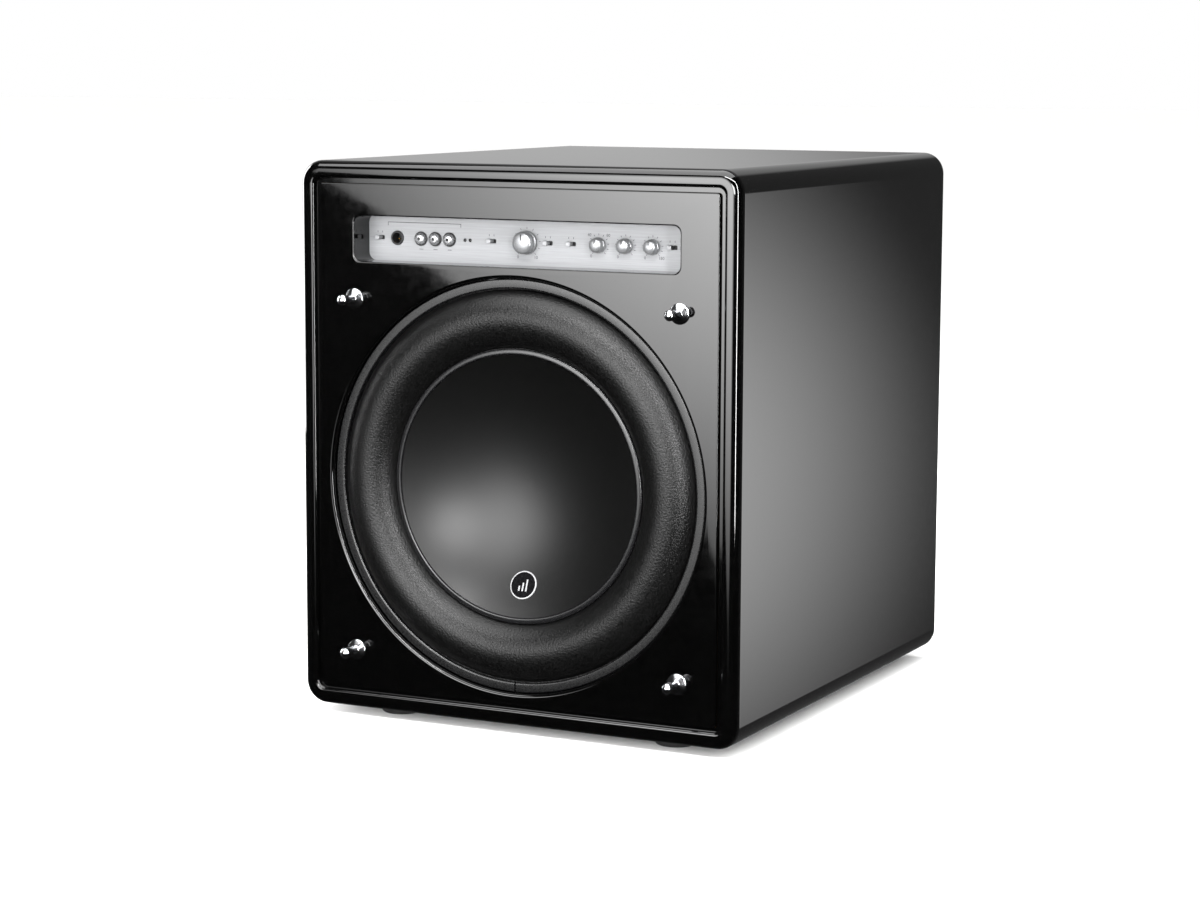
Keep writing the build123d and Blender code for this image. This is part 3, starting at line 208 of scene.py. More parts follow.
room = bpy.data.worlds.new("white_room")
scene.world = room
room.use_nodes = True
room_tree = room.node_tree
backdrop = room_tree.nodes["Background"]
ray = add_node(room_tree, "ShaderNodeLightPath")
facing = add_node(room_tree, "ShaderNodeTexCoord")
split_facing = add_node(room_tree, "ShaderNodeSeparateXYZ", links={0: facing.outputs["Generated"]})
lean = add_node(
    room_tree,
    "ShaderNodeVectorMath",
    settings={"operation": "DOT_PRODUCT"},
    values={1: (-1.0, 0.0, 1.0)},
    links={0: facing.outputs["Generated"]},
)
leftward = add_node(
    room_tree,
    "ShaderNodeMapRange",
    settings={"interpolation_type": "SMOOTHSTEP"},
    values={"From Min": 0.33, "From Max": 0.47, "To Min": 0.1, "To Max": 0.5},
    links={"Value": lean.outputs["Value"]},
)
behind = add_node(
    room_tree,
    "ShaderNodeMapRange",
    settings={"interpolation_type": "SMOOTHSTEP"},
    values={"From Min": -0.1, "From Max": 0.6, "To Min": 0.04, "To Max": 1.0},
    links={"Value": split_facing.outputs["Y"]},
)
glow_direction = (0.465, 0.874, -0.14)
from_glow = add_node(
    room_tree,
    "ShaderNodeVectorMath",
    settings={"operation": "DISTANCE"},
    values={1: glow_direction},
    links={0: facing.outputs["Generated"]},
)
glow = add_node(
    room_tree,
    "ShaderNodeMapRange",
    settings={"interpolation_type": "SMOOTHSTEP"},
    values={"From Min": 0.162, "From Max": 0.04, "To Min": 0.0, "To Max": 2.75},
    links={"Value": from_glow.outputs["Value"]},
)
room_shade = add_node(
    room_tree,
    "ShaderNodeMath",
    settings={"operation": "MULTIPLY_ADD"},
    links={0: leftward.outputs["Result"], 1: behind.outputs["Result"], 2: glow.outputs["Result"]},
)
seen_in_gloss = add_node(
    room_tree,
    "ShaderNodeMix",
    values={2: 1.06},
    links={0: ray.outputs["Is Glossy Ray"], 3: room_shade.outputs["Value"]},
)
seen_by_camera = add_node(
    room_tree,
    "ShaderNodeMix",
    values={3: 1.0},
    links={0: ray.outputs["Is Camera Ray"], 2: seen_in_gloss.outputs[0]},
)
room_tree.links.new(seen_by_camera.outputs[0], backdrop.inputs["Strength"])
backdrop.inputs["Color"].default_value = (1.0, 1.0, 1.0, 1.0)


# ---------------------------------------------------------------- lacquered case
# MDF box, mitred and glued, sprayed with black polyester and polished to a mirror. Its front
# rim is rounded outside and inside, and a fine groove parts it from the baffle.
def rounded_loop(shape, width, height, corner, depth, x=0.0, z=0.0):
    """The edges of one upright rounded rectangle at a depth."""
    corners = bmesh.ops.create_grid(shape, x_segments=1, y_segments=1, size=0.5)["verts"]
    bmesh.ops.scale(shape, vec=(width, height, 1.0), verts=corners)
    eased = bmesh.ops.bevel(
        shape,
        geom=corners,
        offset=corner,
        offset_type="OFFSET",
        segments=12,
        profile=0.5,
        affect="VERTICES",
        material=-1,
    )
    pane = eased["verts"][0].link_faces[0]
    around, edges = list(pane.verts), list(pane.edges)
    bmesh.ops.delete(shape, geom=[pane], context="FACES_ONLY")
    upright = Matrix.Translation((x, FRONT_Y + depth, z)) @ Matrix.Rotation(radians(90.0), 4, "X")
    bmesh.ops.transform(shape, matrix=upright, verts=around)
    return edges


def round_loop(shape, radius, depth, x, z, steps=256):
    """The edges of one upright circle at a depth."""
    upright = Matrix.Translation((x, FRONT_Y + depth, z)) @ Matrix.Rotation(radians(90.0), 4, "X")
    around = bmesh.ops.create_circle(shape, cap_ends=False, radius=radius, segments=steps, matrix=upright)
    return list({edge for vert in around["verts"] for edge in vert.link_edges})


def join_loops(shape, loops):
    """Faces from each loop to the next; two loops at one depth are filled as a flat ring."""
    for near, far in zip(loops, loops[1:]):
        if abs(near[0].verts[0].co.y - far[0].verts[0].co.y) < 0.001:
            bmesh.ops.triangle_fill(shape, use_beauty=True, use_dissolve=False, edges=near + far)
        else:
            bmesh.ops.bridge_loops(shape, edges=near + far)


def quarter_round(radius, steps=8):
    """(inset, depth) from a flat front face round to the side, for an outside edge."""
    turns = [pi / 2 * step / steps for step in range(steps + 1)]
    return [(radius * (1 - sin(turn)), radius * (1 - cos(turn))) for turn in turns]


def finish_piece(shape, name, finishes, body, stands_for=()):
    """Turn a shape in millimetres into a finished piece in metres that rides on a body."""
    bmesh.ops.recalc_face_normals(shape, faces=shape.faces)
    for edge in shape.edges:
        if len(edge.link_faces) == 2 and edge.calc_face_angle() > radians(38.0):
            edge.smooth = False
    for face in shape.faces:
        face.smooth = True
    bmesh.ops.scale(shape, vec=(0.001, 0.001, 0.001), verts=shape.verts)
    mesh = bpy.data.meshes.new(name)
    shape.to_mesh(mesh)
    shape.free()
    for finish in finishes:
        mesh.materials.append(finish)
    piece = bpy.data.objects.new(name, mesh)
    scene.collection.objects.link(piece)
    even = piece.modifiers.new("even_shading", "WEIGHTED_NORMAL")
    even.keep_sharp = True
    if body:
        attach(piece, body)
    if stands_for:
        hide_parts(*stands_for)
    return piece


case_width, case_height, case_depth = 419.0, 480.0, 480.0
case_middle = BOTTOM_Z + case_height / 2
# Polyester lacquer, flatted and buffed: very sharp reflections over a faint orange peel.
piano_lacquer = grained_finish("piano_lacquer", "010101", "020202", 7.0, 0.0035, 0.045, 0.015)
raw_board = grained_finish("raw_mdf", "8a6a48", "a98a63", 1.6, 0.05, 0.75)
case_sections = [(19.0, 480.0), (19.0, 4.0), (15.0, 4.0)]
case_sections += [(15.0 - inset, depth) for inset, depth in reversed(quarter_round(3.0))]
case_sections += quarter_round(8.0)
case_sections += [(inset, case_depth - depth) for inset, depth in reversed(quarter_round(2.0, 4))]
case_shape = bmesh.new()
case_loops = []
for inset, depth in case_sections:
    corner = 3.0 if inset > 18.0 else max(20.0 - inset, 7.0)
    case_loops.append(
        rounded_loop(
            case_shape,
            case_width - 2 * inset,
            case_height - 2 * inset,
            corner,
            depth,
            z=case_middle,
        )
    )
join_loops(case_shape, case_loops + [case_loops[0]])
for face in case_shape.faces:
    middle = face.calc_center_median()
    inside = abs(middle.x) < case_width / 2 - 18.5 and abs(middle.z - case_middle) < case_height / 2 - 18.5
    face.material_index = 1 if inside and middle.y > FRONT_Y + 20.0 else 0
finish_piece(
    case_shape, "lacquered_case", [piano_lacquer, raw_board], "cabinet", ["cabinet_shell"]
)

# ---------------------------------------------------------------- baffle
# Thick MDF front, lacquered and polished like the case. The driver's hole has a rounded edge,
# and the control recess is cut right through with a small radius.
baffle_width, baffle_height, baffle_front, baffle_back = 380.6, 441.6, 1.0, 39.0
driver_z = case_middle - 33.5
panel_z = case_middle + 173.5
hole_r, cut_r, driver_seat = 178.0, 163.0, 18.0
opening_width, opening_height, opening_corner = 310.0, 39.5, 7.0
plate_depth, plate_rebate = 27.0, 7.0
baffle_shape = bmesh.new()
baffle_loops = [
    rounded_loop(
        baffle_shape,
        baffle_width - 2 * inset,
        baffle_height - 2 * inset,
        3.0 - inset,
        baffle_front + depth,
        z=case_middle,
    )
    for inset, depth in [*quarter_round(1.0, 4), (0.0, baffle_back - baffle_front)]
]
join_loops(baffle_shape, baffle_loops)
hole_sections = [(hole_r + inset, baffle_front + depth) for inset, depth in quarter_round(3.0, 10)]
hole_sections += [(hole_r, driver_seat), (cut_r, driver_seat), (cut_r, baffle_back)]
hole_loops = [round_loop(baffle_shape, radius, depth, 0.0, driver_z) for radius, depth in hole_sections]
join_loops(baffle_shape, hole_loops)
recess_sections = [(inset, baffle_front + depth) for inset, depth in quarter_round(1.2, 6)]
recess_sections += [(0.0, plate_depth), (plate_rebate, plate_depth), (plate_rebate, baffle_back)]
recess_loops = [
    rounded_loop(
        baffle_shape,
        opening_width + 2 * growth,
        opening_height + 2 * growth,
        opening_corner,
        depth,
        z=panel_z,
    )
    for growth, depth in recess_sections
]
join_loops(baffle_shape, recess_loops)
for end in (0, -1):
    rims = baffle_loops[end] + hole_loops[end] + recess_loops[end]
    bmesh.ops.triangle_fill(baffle_shape, use_beauty=True, use_dissolve=False, edges=rims)
for face in baffle_shape.faces:
    face.material_index = 1 if face.calc_center_median().y > FRONT_Y + 30.0 else 0
finish_piece(
    baffle_shape, "lacquered_baffle", [piano_lacquer, raw_board], "cabinet", ["front_baffle"]
)


# ---------------------------------------------------------------- inside of the box
# Raw MDF brace, and white polyester wadding stapled to the walls.
def dress(finish, *nodes):
    """Give carried-over pieces their finish."""
    for node in nodes:
        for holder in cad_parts[node].material_slots:
            holder.material = finish


dress(raw_board, "window_brace")
dress(piano_lacquer, "back_panel")
wadding = grained_finish("polyester_wadding", "c9c9c4", "f1f1ee", 5.0, 1.2, 0.95)
dress(wadding, "damping_pads")

# ---------------------------------------------------------------- feet
# Moulded rubber cups, each held to the floor of the box by one screw.
foot_rubber = grained_finish("moulded_rubber", "101010", "1c1c1c", 0.9, 0.03, 0.72)
black_oxide = grained_finish("black_oxide_steel", "141415", "242426", 0.8, 0.01, 0.38, metal=1.0)
dress(foot_rubber, "feet", "driver_gasket")
dress(black_oxide, "foot_screws", "panel_screws", "driver_screws", "amp_screws")


# ---------------------------------------------------------------- grille studs
# Turned brass plugs, chrome plated, pressed into the baffle. Each has a coned flange, a thin
# neck and a domed head that the grille's sockets snap over.
def turn_into(shape, outline, x, z, steps=64, ring=False, sweep=2 * pi, start=0.0):
    """Spin an outline of (radius, depth) points about a front-to-back line."""
    points = [shape.verts.new((x + radius, FRONT_Y + depth, z)) for radius, depth in outline]
    pairs = list(zip(points, points[1:] + points[:1])) if ring else list(zip(points, points[1:]))
    edges = [shape.edges.new(pair) for pair in pairs]
    before = set(shape.verts)
    bmesh.ops.spin(
        shape,
        geom=points + edges,
        cent=(x, 0.0, z),
        axis=(0.0, 1.0, 0.0),
        dvec=(0.0, 0.0, 0.0),
        angle=sweep,
        steps=steps,
        use_merge=sweep > 6.28,
        use_duplicate=False,
    )
    turned = [vert for vert in shape.verts if vert not in before or vert in points]
    if start:
        bmesh.ops.rotate(
            shape,
            cent=(x, 0.0, z),
            matrix=Matrix.Rotation(start, 3, "Y"),
            verts=turned,
        )
    bmesh.ops.remove_doubles(shape, verts=turned, dist=0.0004)
    return [vert for vert in turned if vert.is_valid]


def ease_edges(shape, width, steps=3):
    """Round the sharp edges of a turned or cut shape."""
    sharp = [
        edge
        for edge in shape.edges
        if len(edge.link_faces) == 2 and edge.calc_face_angle() > radians(35.0)
    ]
    bmesh.ops.bevel(
        shape,
        geom=sharp,
        offset=width,
        offset_type="OFFSET",
        segments=steps,
        profile=0.5,
        affect="EDGES",
        clamp_overlap=True,
        material=-1,
    )


# Bright chrome, with the faintest ripple of the turned brass below.
chrome = grained_finish("polished_chrome", "c3c4c7", "d2d3d6", 4.0, 0.0003, 0.17, 0.04, metal=1.0)
stud_reach, stud_head_r, stud_dome = 22.0, 4.5, 2.4
dome_r = (stud_head_r**2 + stud_dome**2) / (2 * stud_dome)
dome_turn = asin(stud_head_r / dome_r)
stud_outline = [
    (0.0, 1.0),
    (8.9, 1.0),
    (8.9, 0.1),
    (8.0, -0.6),
    (4.0, -2.6),
    (3.2, -3.4),
    (3.2, -11.8),
    (4.1, -13.0),
    (4.5, -13.6),
    (4.5, -19.2),
]
stud_outline += [
    (dome_r * sin(dome_turn * (8 - step) / 8), dome_r * (1 - cos(dome_turn * (8 - step) / 8)) - stud_reach)
    for step in range(9)
]
stud_shape = bmesh.new()
for stud_x in (-155.0, 155.0):
    for stud_z in (driver_z - 154.0, driver_z + 155.0):
        turn_into(stud_shape, stud_outline, stud_x, stud_z)
ease_edges(stud_shape, 0.25, 2)
finish_piece(stud_shape, "chrome_studs", [chrome], "cabinet", ["grille_studs"])

# ---------------------------------------------------------------- control plate
# Aluminium sheet, sprayed with matt silver lacquer over faint lengthways brush lines. The real
# lines are about 0.1 mm apart; they are drawn a little coarser, so that they show.
silver_plate = grained_finish(
    "matt_silver_lacquer", "6f7072", "7c7d7f", 0.9, 0.006, 0.5, 0.05, metal=0.1, stretch=(0.02, 1, 1)
)
dress(silver_plate, "panel_plate")
moulded_black = grained_finish("moulded_abs", "0b0b0c", "141415", 1.1, 0.02, 0.5)
dress(moulded_black, "control_box", "switch_bodies", "button_bezels")
solder_mask = grained_finish("solder_mask", "0c3a1c", "14532b", 3.0, 0.02, 0.3)
dress(solder_mask, "control_board", "amp_board")
turned_steel = grained_finish("turned_steel", "8d8e90", "a5a6a8", 0.7, 0.01, 0.3, metal=1.0)
dress(
    turned_steel,
    "panel_pots",
    "master_shaft",
    "frequency_shaft",
    "trim_shaft",
    "phase_shaft",
)

# Dark ink, screen printed on the plate: scale ticks and plain dial numbers round the knobs,
# a bracket over the microphone and its keys, and a tick beside each switch.
plate_front = plate_depth + 0.1
mic_x = -126.5
key_places = {"demo": -103.0, "defeat": -89.0, "calibrate": -75.0}
switch_places = (-144.0, -34.0, 20.0, 42.0, 136.0)
ink_finish = grained_finish("screen_ink", "101011", "1b1b1c", 0.8, 0.005, 0.55)
ink_shape = bmesh.new()


def print_bar(shape, width, height, x, z, depth, turn=0.0, about=None):
    """One printed bar; it may be turned about a knob's middle."""
    bar = bmesh.ops.create_cube(shape, size=1.0)["verts"]
    bmesh.ops.scale(shape, vec=(width, 0.08, height), verts=bar)
    bmesh.ops.translate(shape, vec=(x, FRONT_Y + depth, z), verts=bar)
    if about:
        bmesh.ops.rotate(
            shape,
            cent=(about[0], 0.0, about[1]),
            matrix=Matrix.Rotation(turn, 3, "Y"),
            verts=bar,
        )


knob_places = {"master": (0.0, 10.0), "frequency": (68.0, 6.5), "trim": (93.0, 6.5), "phase": (118.0, 6.5)}
for knob_x, knob_r in knob_places.values():
    for step in range(11):
        print_bar(
            ink_shape,
            0.45,
            1.7,
            knob_x,
            panel_z + knob_r + 2.3,
            plate_front,
            turn=radians(-140.0 + 28.0 * step),
            about=(knob_x, panel_z),
        )
print_bar(ink_shape, 72.0, 0.5, -100.0, panel_z + 13.5, plate_front)
for end_x in (-136.0, -64.0):
    print_bar(ink_shape, 0.5, 3.2, end_x, panel_z + 12.1, plate_front)
for slot_x in switch_places:
    for tick_x in (-2.3, 2.3):
        print_bar(ink_shape, 0.5, 1.6, slot_x + tick_x, panel_z + 5.0, plate_front)
for key_x in key_places.values():
    print_bar(ink_shape, 4.0, 0.5, key_x, panel_z - 9.0, plate_front)
finish_piece(ink_shape, "panel_ink", [ink_finish], "cabinet")


def add_curve(shape, curve, place=Matrix()):
    """Add the solid form of a curve or a text to a shape."""
    holder = bpy.data.objects.new(curve.name, curve)
    scene.collection.objects.link(holder)
    bpy.context.view_layer.update()
    solid = bpy.data.meshes.new_from_object(holder)
    bpy.data.objects.remove(holder)
    solid.transform(place)
    shape.from_mesh(solid)
    bpy.data.meshes.remove(solid)


# Each number with its knob and its place from the knob's middle, to the right and up.
dial_numbers = [
    ("0", "master", -8.6, -12.6),
    ("0", "frequency", -7.2, -9.4),
    ("0", "trim", -7.2, -9.4),
    ("0", "phase", -7.2, -9.4),
    ("10", "master", 8.6, -12.6),
    ("40", "frequency", -8.8, 8.2),
    ("80", "frequency", 8.8, 8.2),
    ("180", "phase", 8.0, -9.4),
]
digit_shape = bmesh.new()
for digits, knob_name, across, up in dial_numbers:
    digit_curve = bpy.data.curves.new("dial_number", "FONT")
    digit_curve.body = digits
    digit_curve.size = 3.6
    digit_curve.align_x = "CENTER"
    digit_curve.align_y = "CENTER"
    digit_curve.extrude = 0.04
    digit_x = knob_places[knob_name][0] + across
    digit_place = Matrix.Translation((digit_x, FRONT_Y + plate_front, panel_z + up))
    add_curve(digit_shape, digit_curve, digit_place @ Matrix.Rotation(radians(90.0), 4, "X"))
finish_piece(digit_shape, "panel_numbers", [ink_finish], "cabinet")

# ---------------------------------------------------------------- knobs
# Aluminium knobs, turned with a stepped skirt and a domed face, bead blasted and anodised
# silver. A dark strip on the face is painted shade of the uncut index groove; it points at the scale. Each
# pushes onto its pot's shaft.
knob_silver = grained_finish(
    "blasted_anodised_aluminium", "868789", "9a9b9d", 0.8, 0.01, 0.33, 0.06, metal=0.75
)
knob_back = 25.4
for knob_name, (knob_x, knob_r) in knob_places.items():
    knob_front = knob_back - (11.0 if knob_name == "master" else 8.5)
    knob_shape = bmesh.new()
    knob_outline = [
        (0.0, knob_front + 1.0),
        (knob_r * 0.35, knob_front + 1.12),
        (knob_r * 0.62, knob_front + 1.5),
        (knob_r * 0.82, knob_front + 2.2),
        (knob_r * 0.92, knob_front + 3.3),
        (knob_r * 0.95, knob_front + 4.6),
        (knob_r * 0.95, knob_back - 2.6),
        (knob_r * 0.90, knob_back - 2.2),
        (knob_r * 0.90, knob_back - 1.8),
        (knob_r, knob_back - 1.5),
        (knob_r, knob_back),
        (0.0, knob_back),
    ]
    turn_into(knob_shape, knob_outline, knob_x, panel_z)
    ease_edges(knob_shape, 0.25, 2)
    # Painted shade: a black strip where the index groove's shadow would fall.
    painted_groove_shade = bmesh.ops.create_cube(knob_shape, size=1.0)["verts"]
    bmesh.ops.scale(knob_shape, vec=(0.9, 1.2, knob_r * 0.5), verts=painted_groove_shade)
    bmesh.ops.translate(
        knob_shape, vec=(knob_x, FRONT_Y + knob_front + 1.55, panel_z + knob_r * 0.46), verts=painted_groove_shade
    )
    for face in {face for vert in painted_groove_shade for face in vert.link_faces}:
        face.material_index = 1
    finish_piece(
        knob_shape,
        f"silver_{knob_name}_knob",
        [knob_silver, moulded_black],
        f"{knob_name}_control",
        [f"{knob_name}_knob"],
    )

# ---------------------------------------------------------------- keys and lamps
# Domed keys, moulded and satin plated, with a small dark dimple; each sits in a black bezel
# and presses the switch on the board behind it. Two dark lenses cover the lamps.
key_silver = grained_finish("satin_plating", "9a9b9d", "b0b1b3", 0.8, 0.008, 0.28, 0.05, metal=0.8)
key_front = 22.5
for key_name, key_x in key_places.items():
    key_shape = bmesh.new()
    key_outline = [
        (0.0, key_front + 0.9),
        (1.4, key_front + 0.9),
        (1.4, key_front + 0.1),
        (2.8, key_front + 0.15),
        (3.6, key_front + 0.45),
        (4.3, key_front + 1.0),
        (4.75, key_front + 1.9),
        (5.0, key_front + 3.0),
        (5.0, 31.0),
        (2.0, 31.0),
        (2.0, 33.8),
        (0.0, 33.8),
    ]
    turn_into(key_shape, key_outline, key_x, panel_z)
    for face in key_shape.faces:
        middle = face.calc_center_median()
        near = (middle.x - key_x) ** 2 + (middle.z - panel_z) ** 2 < 1.5**2
        face.material_index = 1 if near and middle.y < FRONT_Y + 25.0 else 0
    finish_piece(
        key_shape,
        f"{key_name}_key_cap",
        [key_silver, moulded_black],
        f"{key_name}_key",
        [f"{key_name}_button"],
    )
lamp_lens = grained_finish("smoked_acrylic", "0a0a0b", "121214", 2.0, 0.002, 0.12, 0.03, ior=1.49)
dress(lamp_lens, "status_leds")

# ---------------------------------------------------------------- microphone socket and switches
# Round nylon socket with three plated pins. The slide switches' tips are grey nylon.
dress(moulded_black, "mic_socket")
gold = grained_finish("gold_plating", "c79a45", "dcb05a", 0.8, 0.004, 0.22, metal=1.0)
pin_shape = bmesh.new()
for turn in (90.0, 210.0, 330.0):
    pin_x = mic_x + 2.6 * cos(radians(turn))
    pin_z = panel_z + 2.6 * sin(radians(turn))
    turn_into(pin_shape, [(0.0, 33.2), (0.35, 33.25), (0.6, 33.7), (0.6, 36.4)], pin_x, pin_z, steps=20)
finish_piece(pin_shape, "mic_pins", [gold], "cabinet")
switch_nylon = grained_finish("grey_nylon", "77787a", "868789", 0.9, 0.01, 0.42)
dress(
    switch_nylon,
    "power_lever",
    "level_lever",
    "lights_lever",
    "filter_lever",
    "polarity_lever",
    "mode_lever",
)

# ---------------------------------------------------------------- driver basket and trim ring
# Cast aluminium basket, powder coated black. A moulded ring, split at the bottom, snaps over
# the screws between the baffle and the surround.
powder_coat = grained_finish("powder_coat", "0d0d0e", "171718", 1.3, 0.05, 0.45)
dress(powder_coat, "driver_basket")
satin_ring = grained_finish("satin_abs", "040405", "090909", 1.0, 0.008, 0.28)
ring_inner, ring_outer, ring_front, ring_back = 169.0, 177.5, 5.5, 9.95
ring_outline = [
    (ring_inner + 0.3, ring_back),
    (ring_inner, ring_front + 1.4),
    (ring_inner + 0.2, ring_front + 0.8),
    (ring_inner + 0.5, ring_front + 0.45),
    (ring_inner + 1.0, ring_front + 0.15),
    (ring_inner + 1.7, ring_front),
    (ring_outer - 1.2, ring_front),
    (ring_outer - 0.4, ring_front + 0.35),
    (ring_outer, ring_front + 1.0),
    (ring_outer, ring_back),
    (ring_outer - 0.9, ring_back),
    (ring_outer - 0.9, ring_front + 1.8),
    (ring_inner + 0.8, ring_front + 1.8),
    (ring_inner + 0.8, ring_back),
]
split = 1.2 / 173.0
ring_shape = bmesh.new()
turn_into(ring_shape, ring_outline, 0.0, driver_z, 255, True, 2 * pi - split, pi / 2 + split / 2)
bmesh.ops.holes_fill(ring_shape, edges=[edge for edge in ring_shape.edges if edge.is_boundary])
finish_piece(ring_shape, "snap_trim_ring", [satin_ring], "cabinet", ["trim_ring"])

# ---------------------------------------------------------------- surround
# Butyl rubber half roll, moulded with a fine matt grain, glued to the basket outside and to
# the cone inside. The real roll bends as the cone moves; this piece is built at rest and does not bend.
# The grain is about 0.3 mm; it is drawn at 1.7 mm, so that it shows.
surround_rubber = grained_finish("grained_butyl", "010101", "080808", 1.7, 0.4, 0.34, 0.06, shine=0.32)
surround_outer, surround_inner, surround_crest, surround_depth = 168.5, 118.5, 16.0, 10.0
surround_wall = 1.5
roll_middle = (surround_outer + surround_inner) / 2
half_span = (surround_outer - surround_inner) / 2
roll_r = (half_span**2 + surround_crest**2) / (2 * surround_crest)
roll_centre = surround_depth - surround_crest + roll_r
roll_turn = asin(half_span / roll_r)
back_r = roll_r - surround_wall
back_turn = asin(sqrt(back_r**2 - (roll_centre - surround_depth - surround_wall) ** 2) / back_r)
roll_steps = [1 - step / 14 for step in range(29)]
surround_outline = [(176.0, surround_depth)]
surround_outline += [
    (roll_middle + roll_r * sin(roll_turn * step), roll_centre - roll_r * cos(roll_turn * step))
    for step in roll_steps
]
surround_outline += [(113.5, surround_depth), (113.5, surround_depth + surround_wall)]
surround_outline += [
    (roll_middle + back_r * sin(back_turn * step), roll_centre - back_r * cos(back_turn * step))
    for step in reversed(roll_steps)
]
surround_outline += [(176.0, surround_depth + surround_wall)]
surround_shape = bmesh.new()
turn_into(surround_shape, surround_outline, 0.0, driver_z, 256, True)
surround_piece = finish_piece(
    surround_shape, "rubber_surround", [surround_rubber], None, ["surround"]
)


def bend_radially(piece):
    """Bake a round piece's place into its mesh; the piece is not bent with the cone."""
    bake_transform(piece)


bend_radially(surround_piece)

# ---------------------------------------------------------------- cone
# Reinforced pulp dish, satin black, glued in front of the straight-sided cone, with a moulded
# ring over the joint. The ring's face slopes a little inwards.
cone_pulp = grained_finish("satin_cone_pulp", "020202", "050505", 1.2, 0.003, 0.35, 0.03, shine=0.4)
ring_grey = grained_finish("satin_grey_ring", "080809", "101011", 0.9, 0.006, 0.24, 0.04)
dish_r, dish_rim, dish_sag, dish_wall = 113.0, 9.0, 30.0, 1.2
sphere_r = (dish_r**2 + dish_sag**2) / (2 * dish_sag)
sphere_centre = dish_rim + dish_sag - sphere_r


def dish_depth(radius):
    """Depth of the dish's front face at a radius; it is part of a sphere."""
    return sphere_centre + sqrt(sphere_r**2 - radius**2)


dish_radii = [dish_r * step / 28 for step in range(29)]
skirt_r = dish_r - dish_wall
dish_outline = [(radius, dish_depth(radius)) for radius in dish_radii]
dish_outline += [(dish_r, 11.5), (skirt_r, 11.5)]
dish_outline += [
    (radius * skirt_r / dish_r, dish_depth(radius * skirt_r / dish_r) + dish_wall)
    for radius in reversed(dish_radii)
]
dish_shape = bmesh.new()
turn_into(dish_shape, dish_outline, 0.0, driver_z, 256)
finish_piece(dish_shape, "pulp_dish", [cone_pulp], "cone_assembly", ["dish_cone"])

cone_ring_outline = [
    (113.2, 9.9),
    (113.2, 8.6),
    (113.6, 7.7),
    (114.6, 7.2),
    (117.1, 7.6),
    (117.9, 8.0),
    (118.3, 8.8),
    (118.3, 9.9),
]
cone_ring_shape = bmesh.new()
turn_into(cone_ring_shape, cone_ring_outline, 0.0, driver_z, 256, True)
finish_piece(
    cone_ring_shape, "moulded_cone_ring", [ring_grey], "cone_assembly", ["cone_ring"]
)

# Round badge, glossy black with a pale printed rim and three plain bars of rising height.
badge_drop, badge_r, badge_lift, badge_t = 87.0, 12.5, 0.393, 1.0
badge_black = grained_finish("gloss_black_print", "060607", "0b0b0c", 2.0, 0.001, 0.12, 0.03)
badge_pale = grained_finish("pale_print", "717172", "828283", 1.0, 0.001, 0.4)
badge_face = -(badge_lift + badge_t)
badge_shape = bmesh.new()
badge_outline = [
    (0.0, badge_face),
    (badge_r - 1.9, badge_face),
    (badge_r - 1.1, badge_face),
    (badge_r - 0.4, badge_face + 0.04),
    (badge_r - 0.1, badge_face + 0.15),
    (badge_r, badge_face + 0.4),
    (badge_r, -badge_lift),
    (0.0, -badge_lift),
]
turn_into(badge_shape, badge_outline, 0.0, 0.0, 96)
for face in badge_shape.faces:
    middle = face.calc_center_median()
    face.material_index = 1 if sqrt(middle.x**2 + middle.z**2) > badge_r - 1.2 else 0
for bar_x, bar_height in ((-3.4, 4.5), (0.0, 7.5), (3.4, 10.5)):
    bar = bmesh.ops.create_cube(badge_shape, size=1.0)["verts"]
    bmesh.ops.scale(badge_shape, vec=(1.4, 0.16, bar_height), verts=bar)
    bmesh.ops.translate(badge_shape, vec=(bar_x, FRONT_Y + badge_face, bar_height / 2 - 5.5), verts=bar)
    for face in {face for vert in bar for face in vert.link_faces}:
        face.material_index = 1
badge_place = (
    Matrix.Translation((0.0, FRONT_Y + dish_depth(badge_drop), driver_z - badge_drop))
    @ Matrix.Rotation(-asin(badge_drop / sphere_r), 4, "X")
    @ Matrix.Translation((0.0, -FRONT_Y, 0.0))
)
bmesh.ops.transform(badge_shape, matrix=badge_place, verts=badge_shape.verts)
finish_piece(
    badge_shape, "printed_badge", [badge_black, badge_pale], "cone_assembly", ["cone_badge"]
)

# ---------------------------------------------------------------- coil, spiders and leads
# Aluminium former with an enamelled copper winding, two corrugated cloth spiders that centre
# it, and two braided leads from the basket's terminals to the cone's neck.
dress(cone_pulp, "cone_body")
former_foil = grained_finish("former_foil", "a7a8aa", "bcbdbf", 1.2, 0.01, 0.35, metal=1.0)
dress(former_foil, "coil_former")
enamelled_copper = grained_finish(
    "enamelled_copper", "8a3f1d", "b8602f", 0.8, 0.05, 0.3, metal=1.0, stretch=(0.05, 1, 0.05)
)
dress(enamelled_copper, "voice_coil")
spider_cloth = grained_finish("resin_cloth", "8a6c3c", "a98b58", 0.8, 0.08, 0.75)
spider_shape = bmesh.new()
for spider_depth, spider_outer, outer_flat in ((81.0, 104.0, 7.5), (99.0, 96.8, 3.5)):
    wave_in, wave_out = 42.0, spider_outer - outer_flat
    wave_steps = [step / 80 for step in range(81)]
    wave = [
        (wave_in + (wave_out - wave_in) * step, spider_depth - 2.2 * sin(10 * pi * step))
        for step in wave_steps
    ]
    spider_outline = [(38.5, spider_depth), *wave, (spider_outer, spider_depth)]
    spider_outline += [(radius, depth + 0.8) for radius, depth in reversed(spider_outline)]
    turn_into(spider_shape, spider_outline, 0.0, driver_z, 96, True)
spider_piece = finish_piece(
    spider_shape, "cloth_spiders", [spider_cloth], None, ["spiders"]
)
bend_radially(spider_piece)

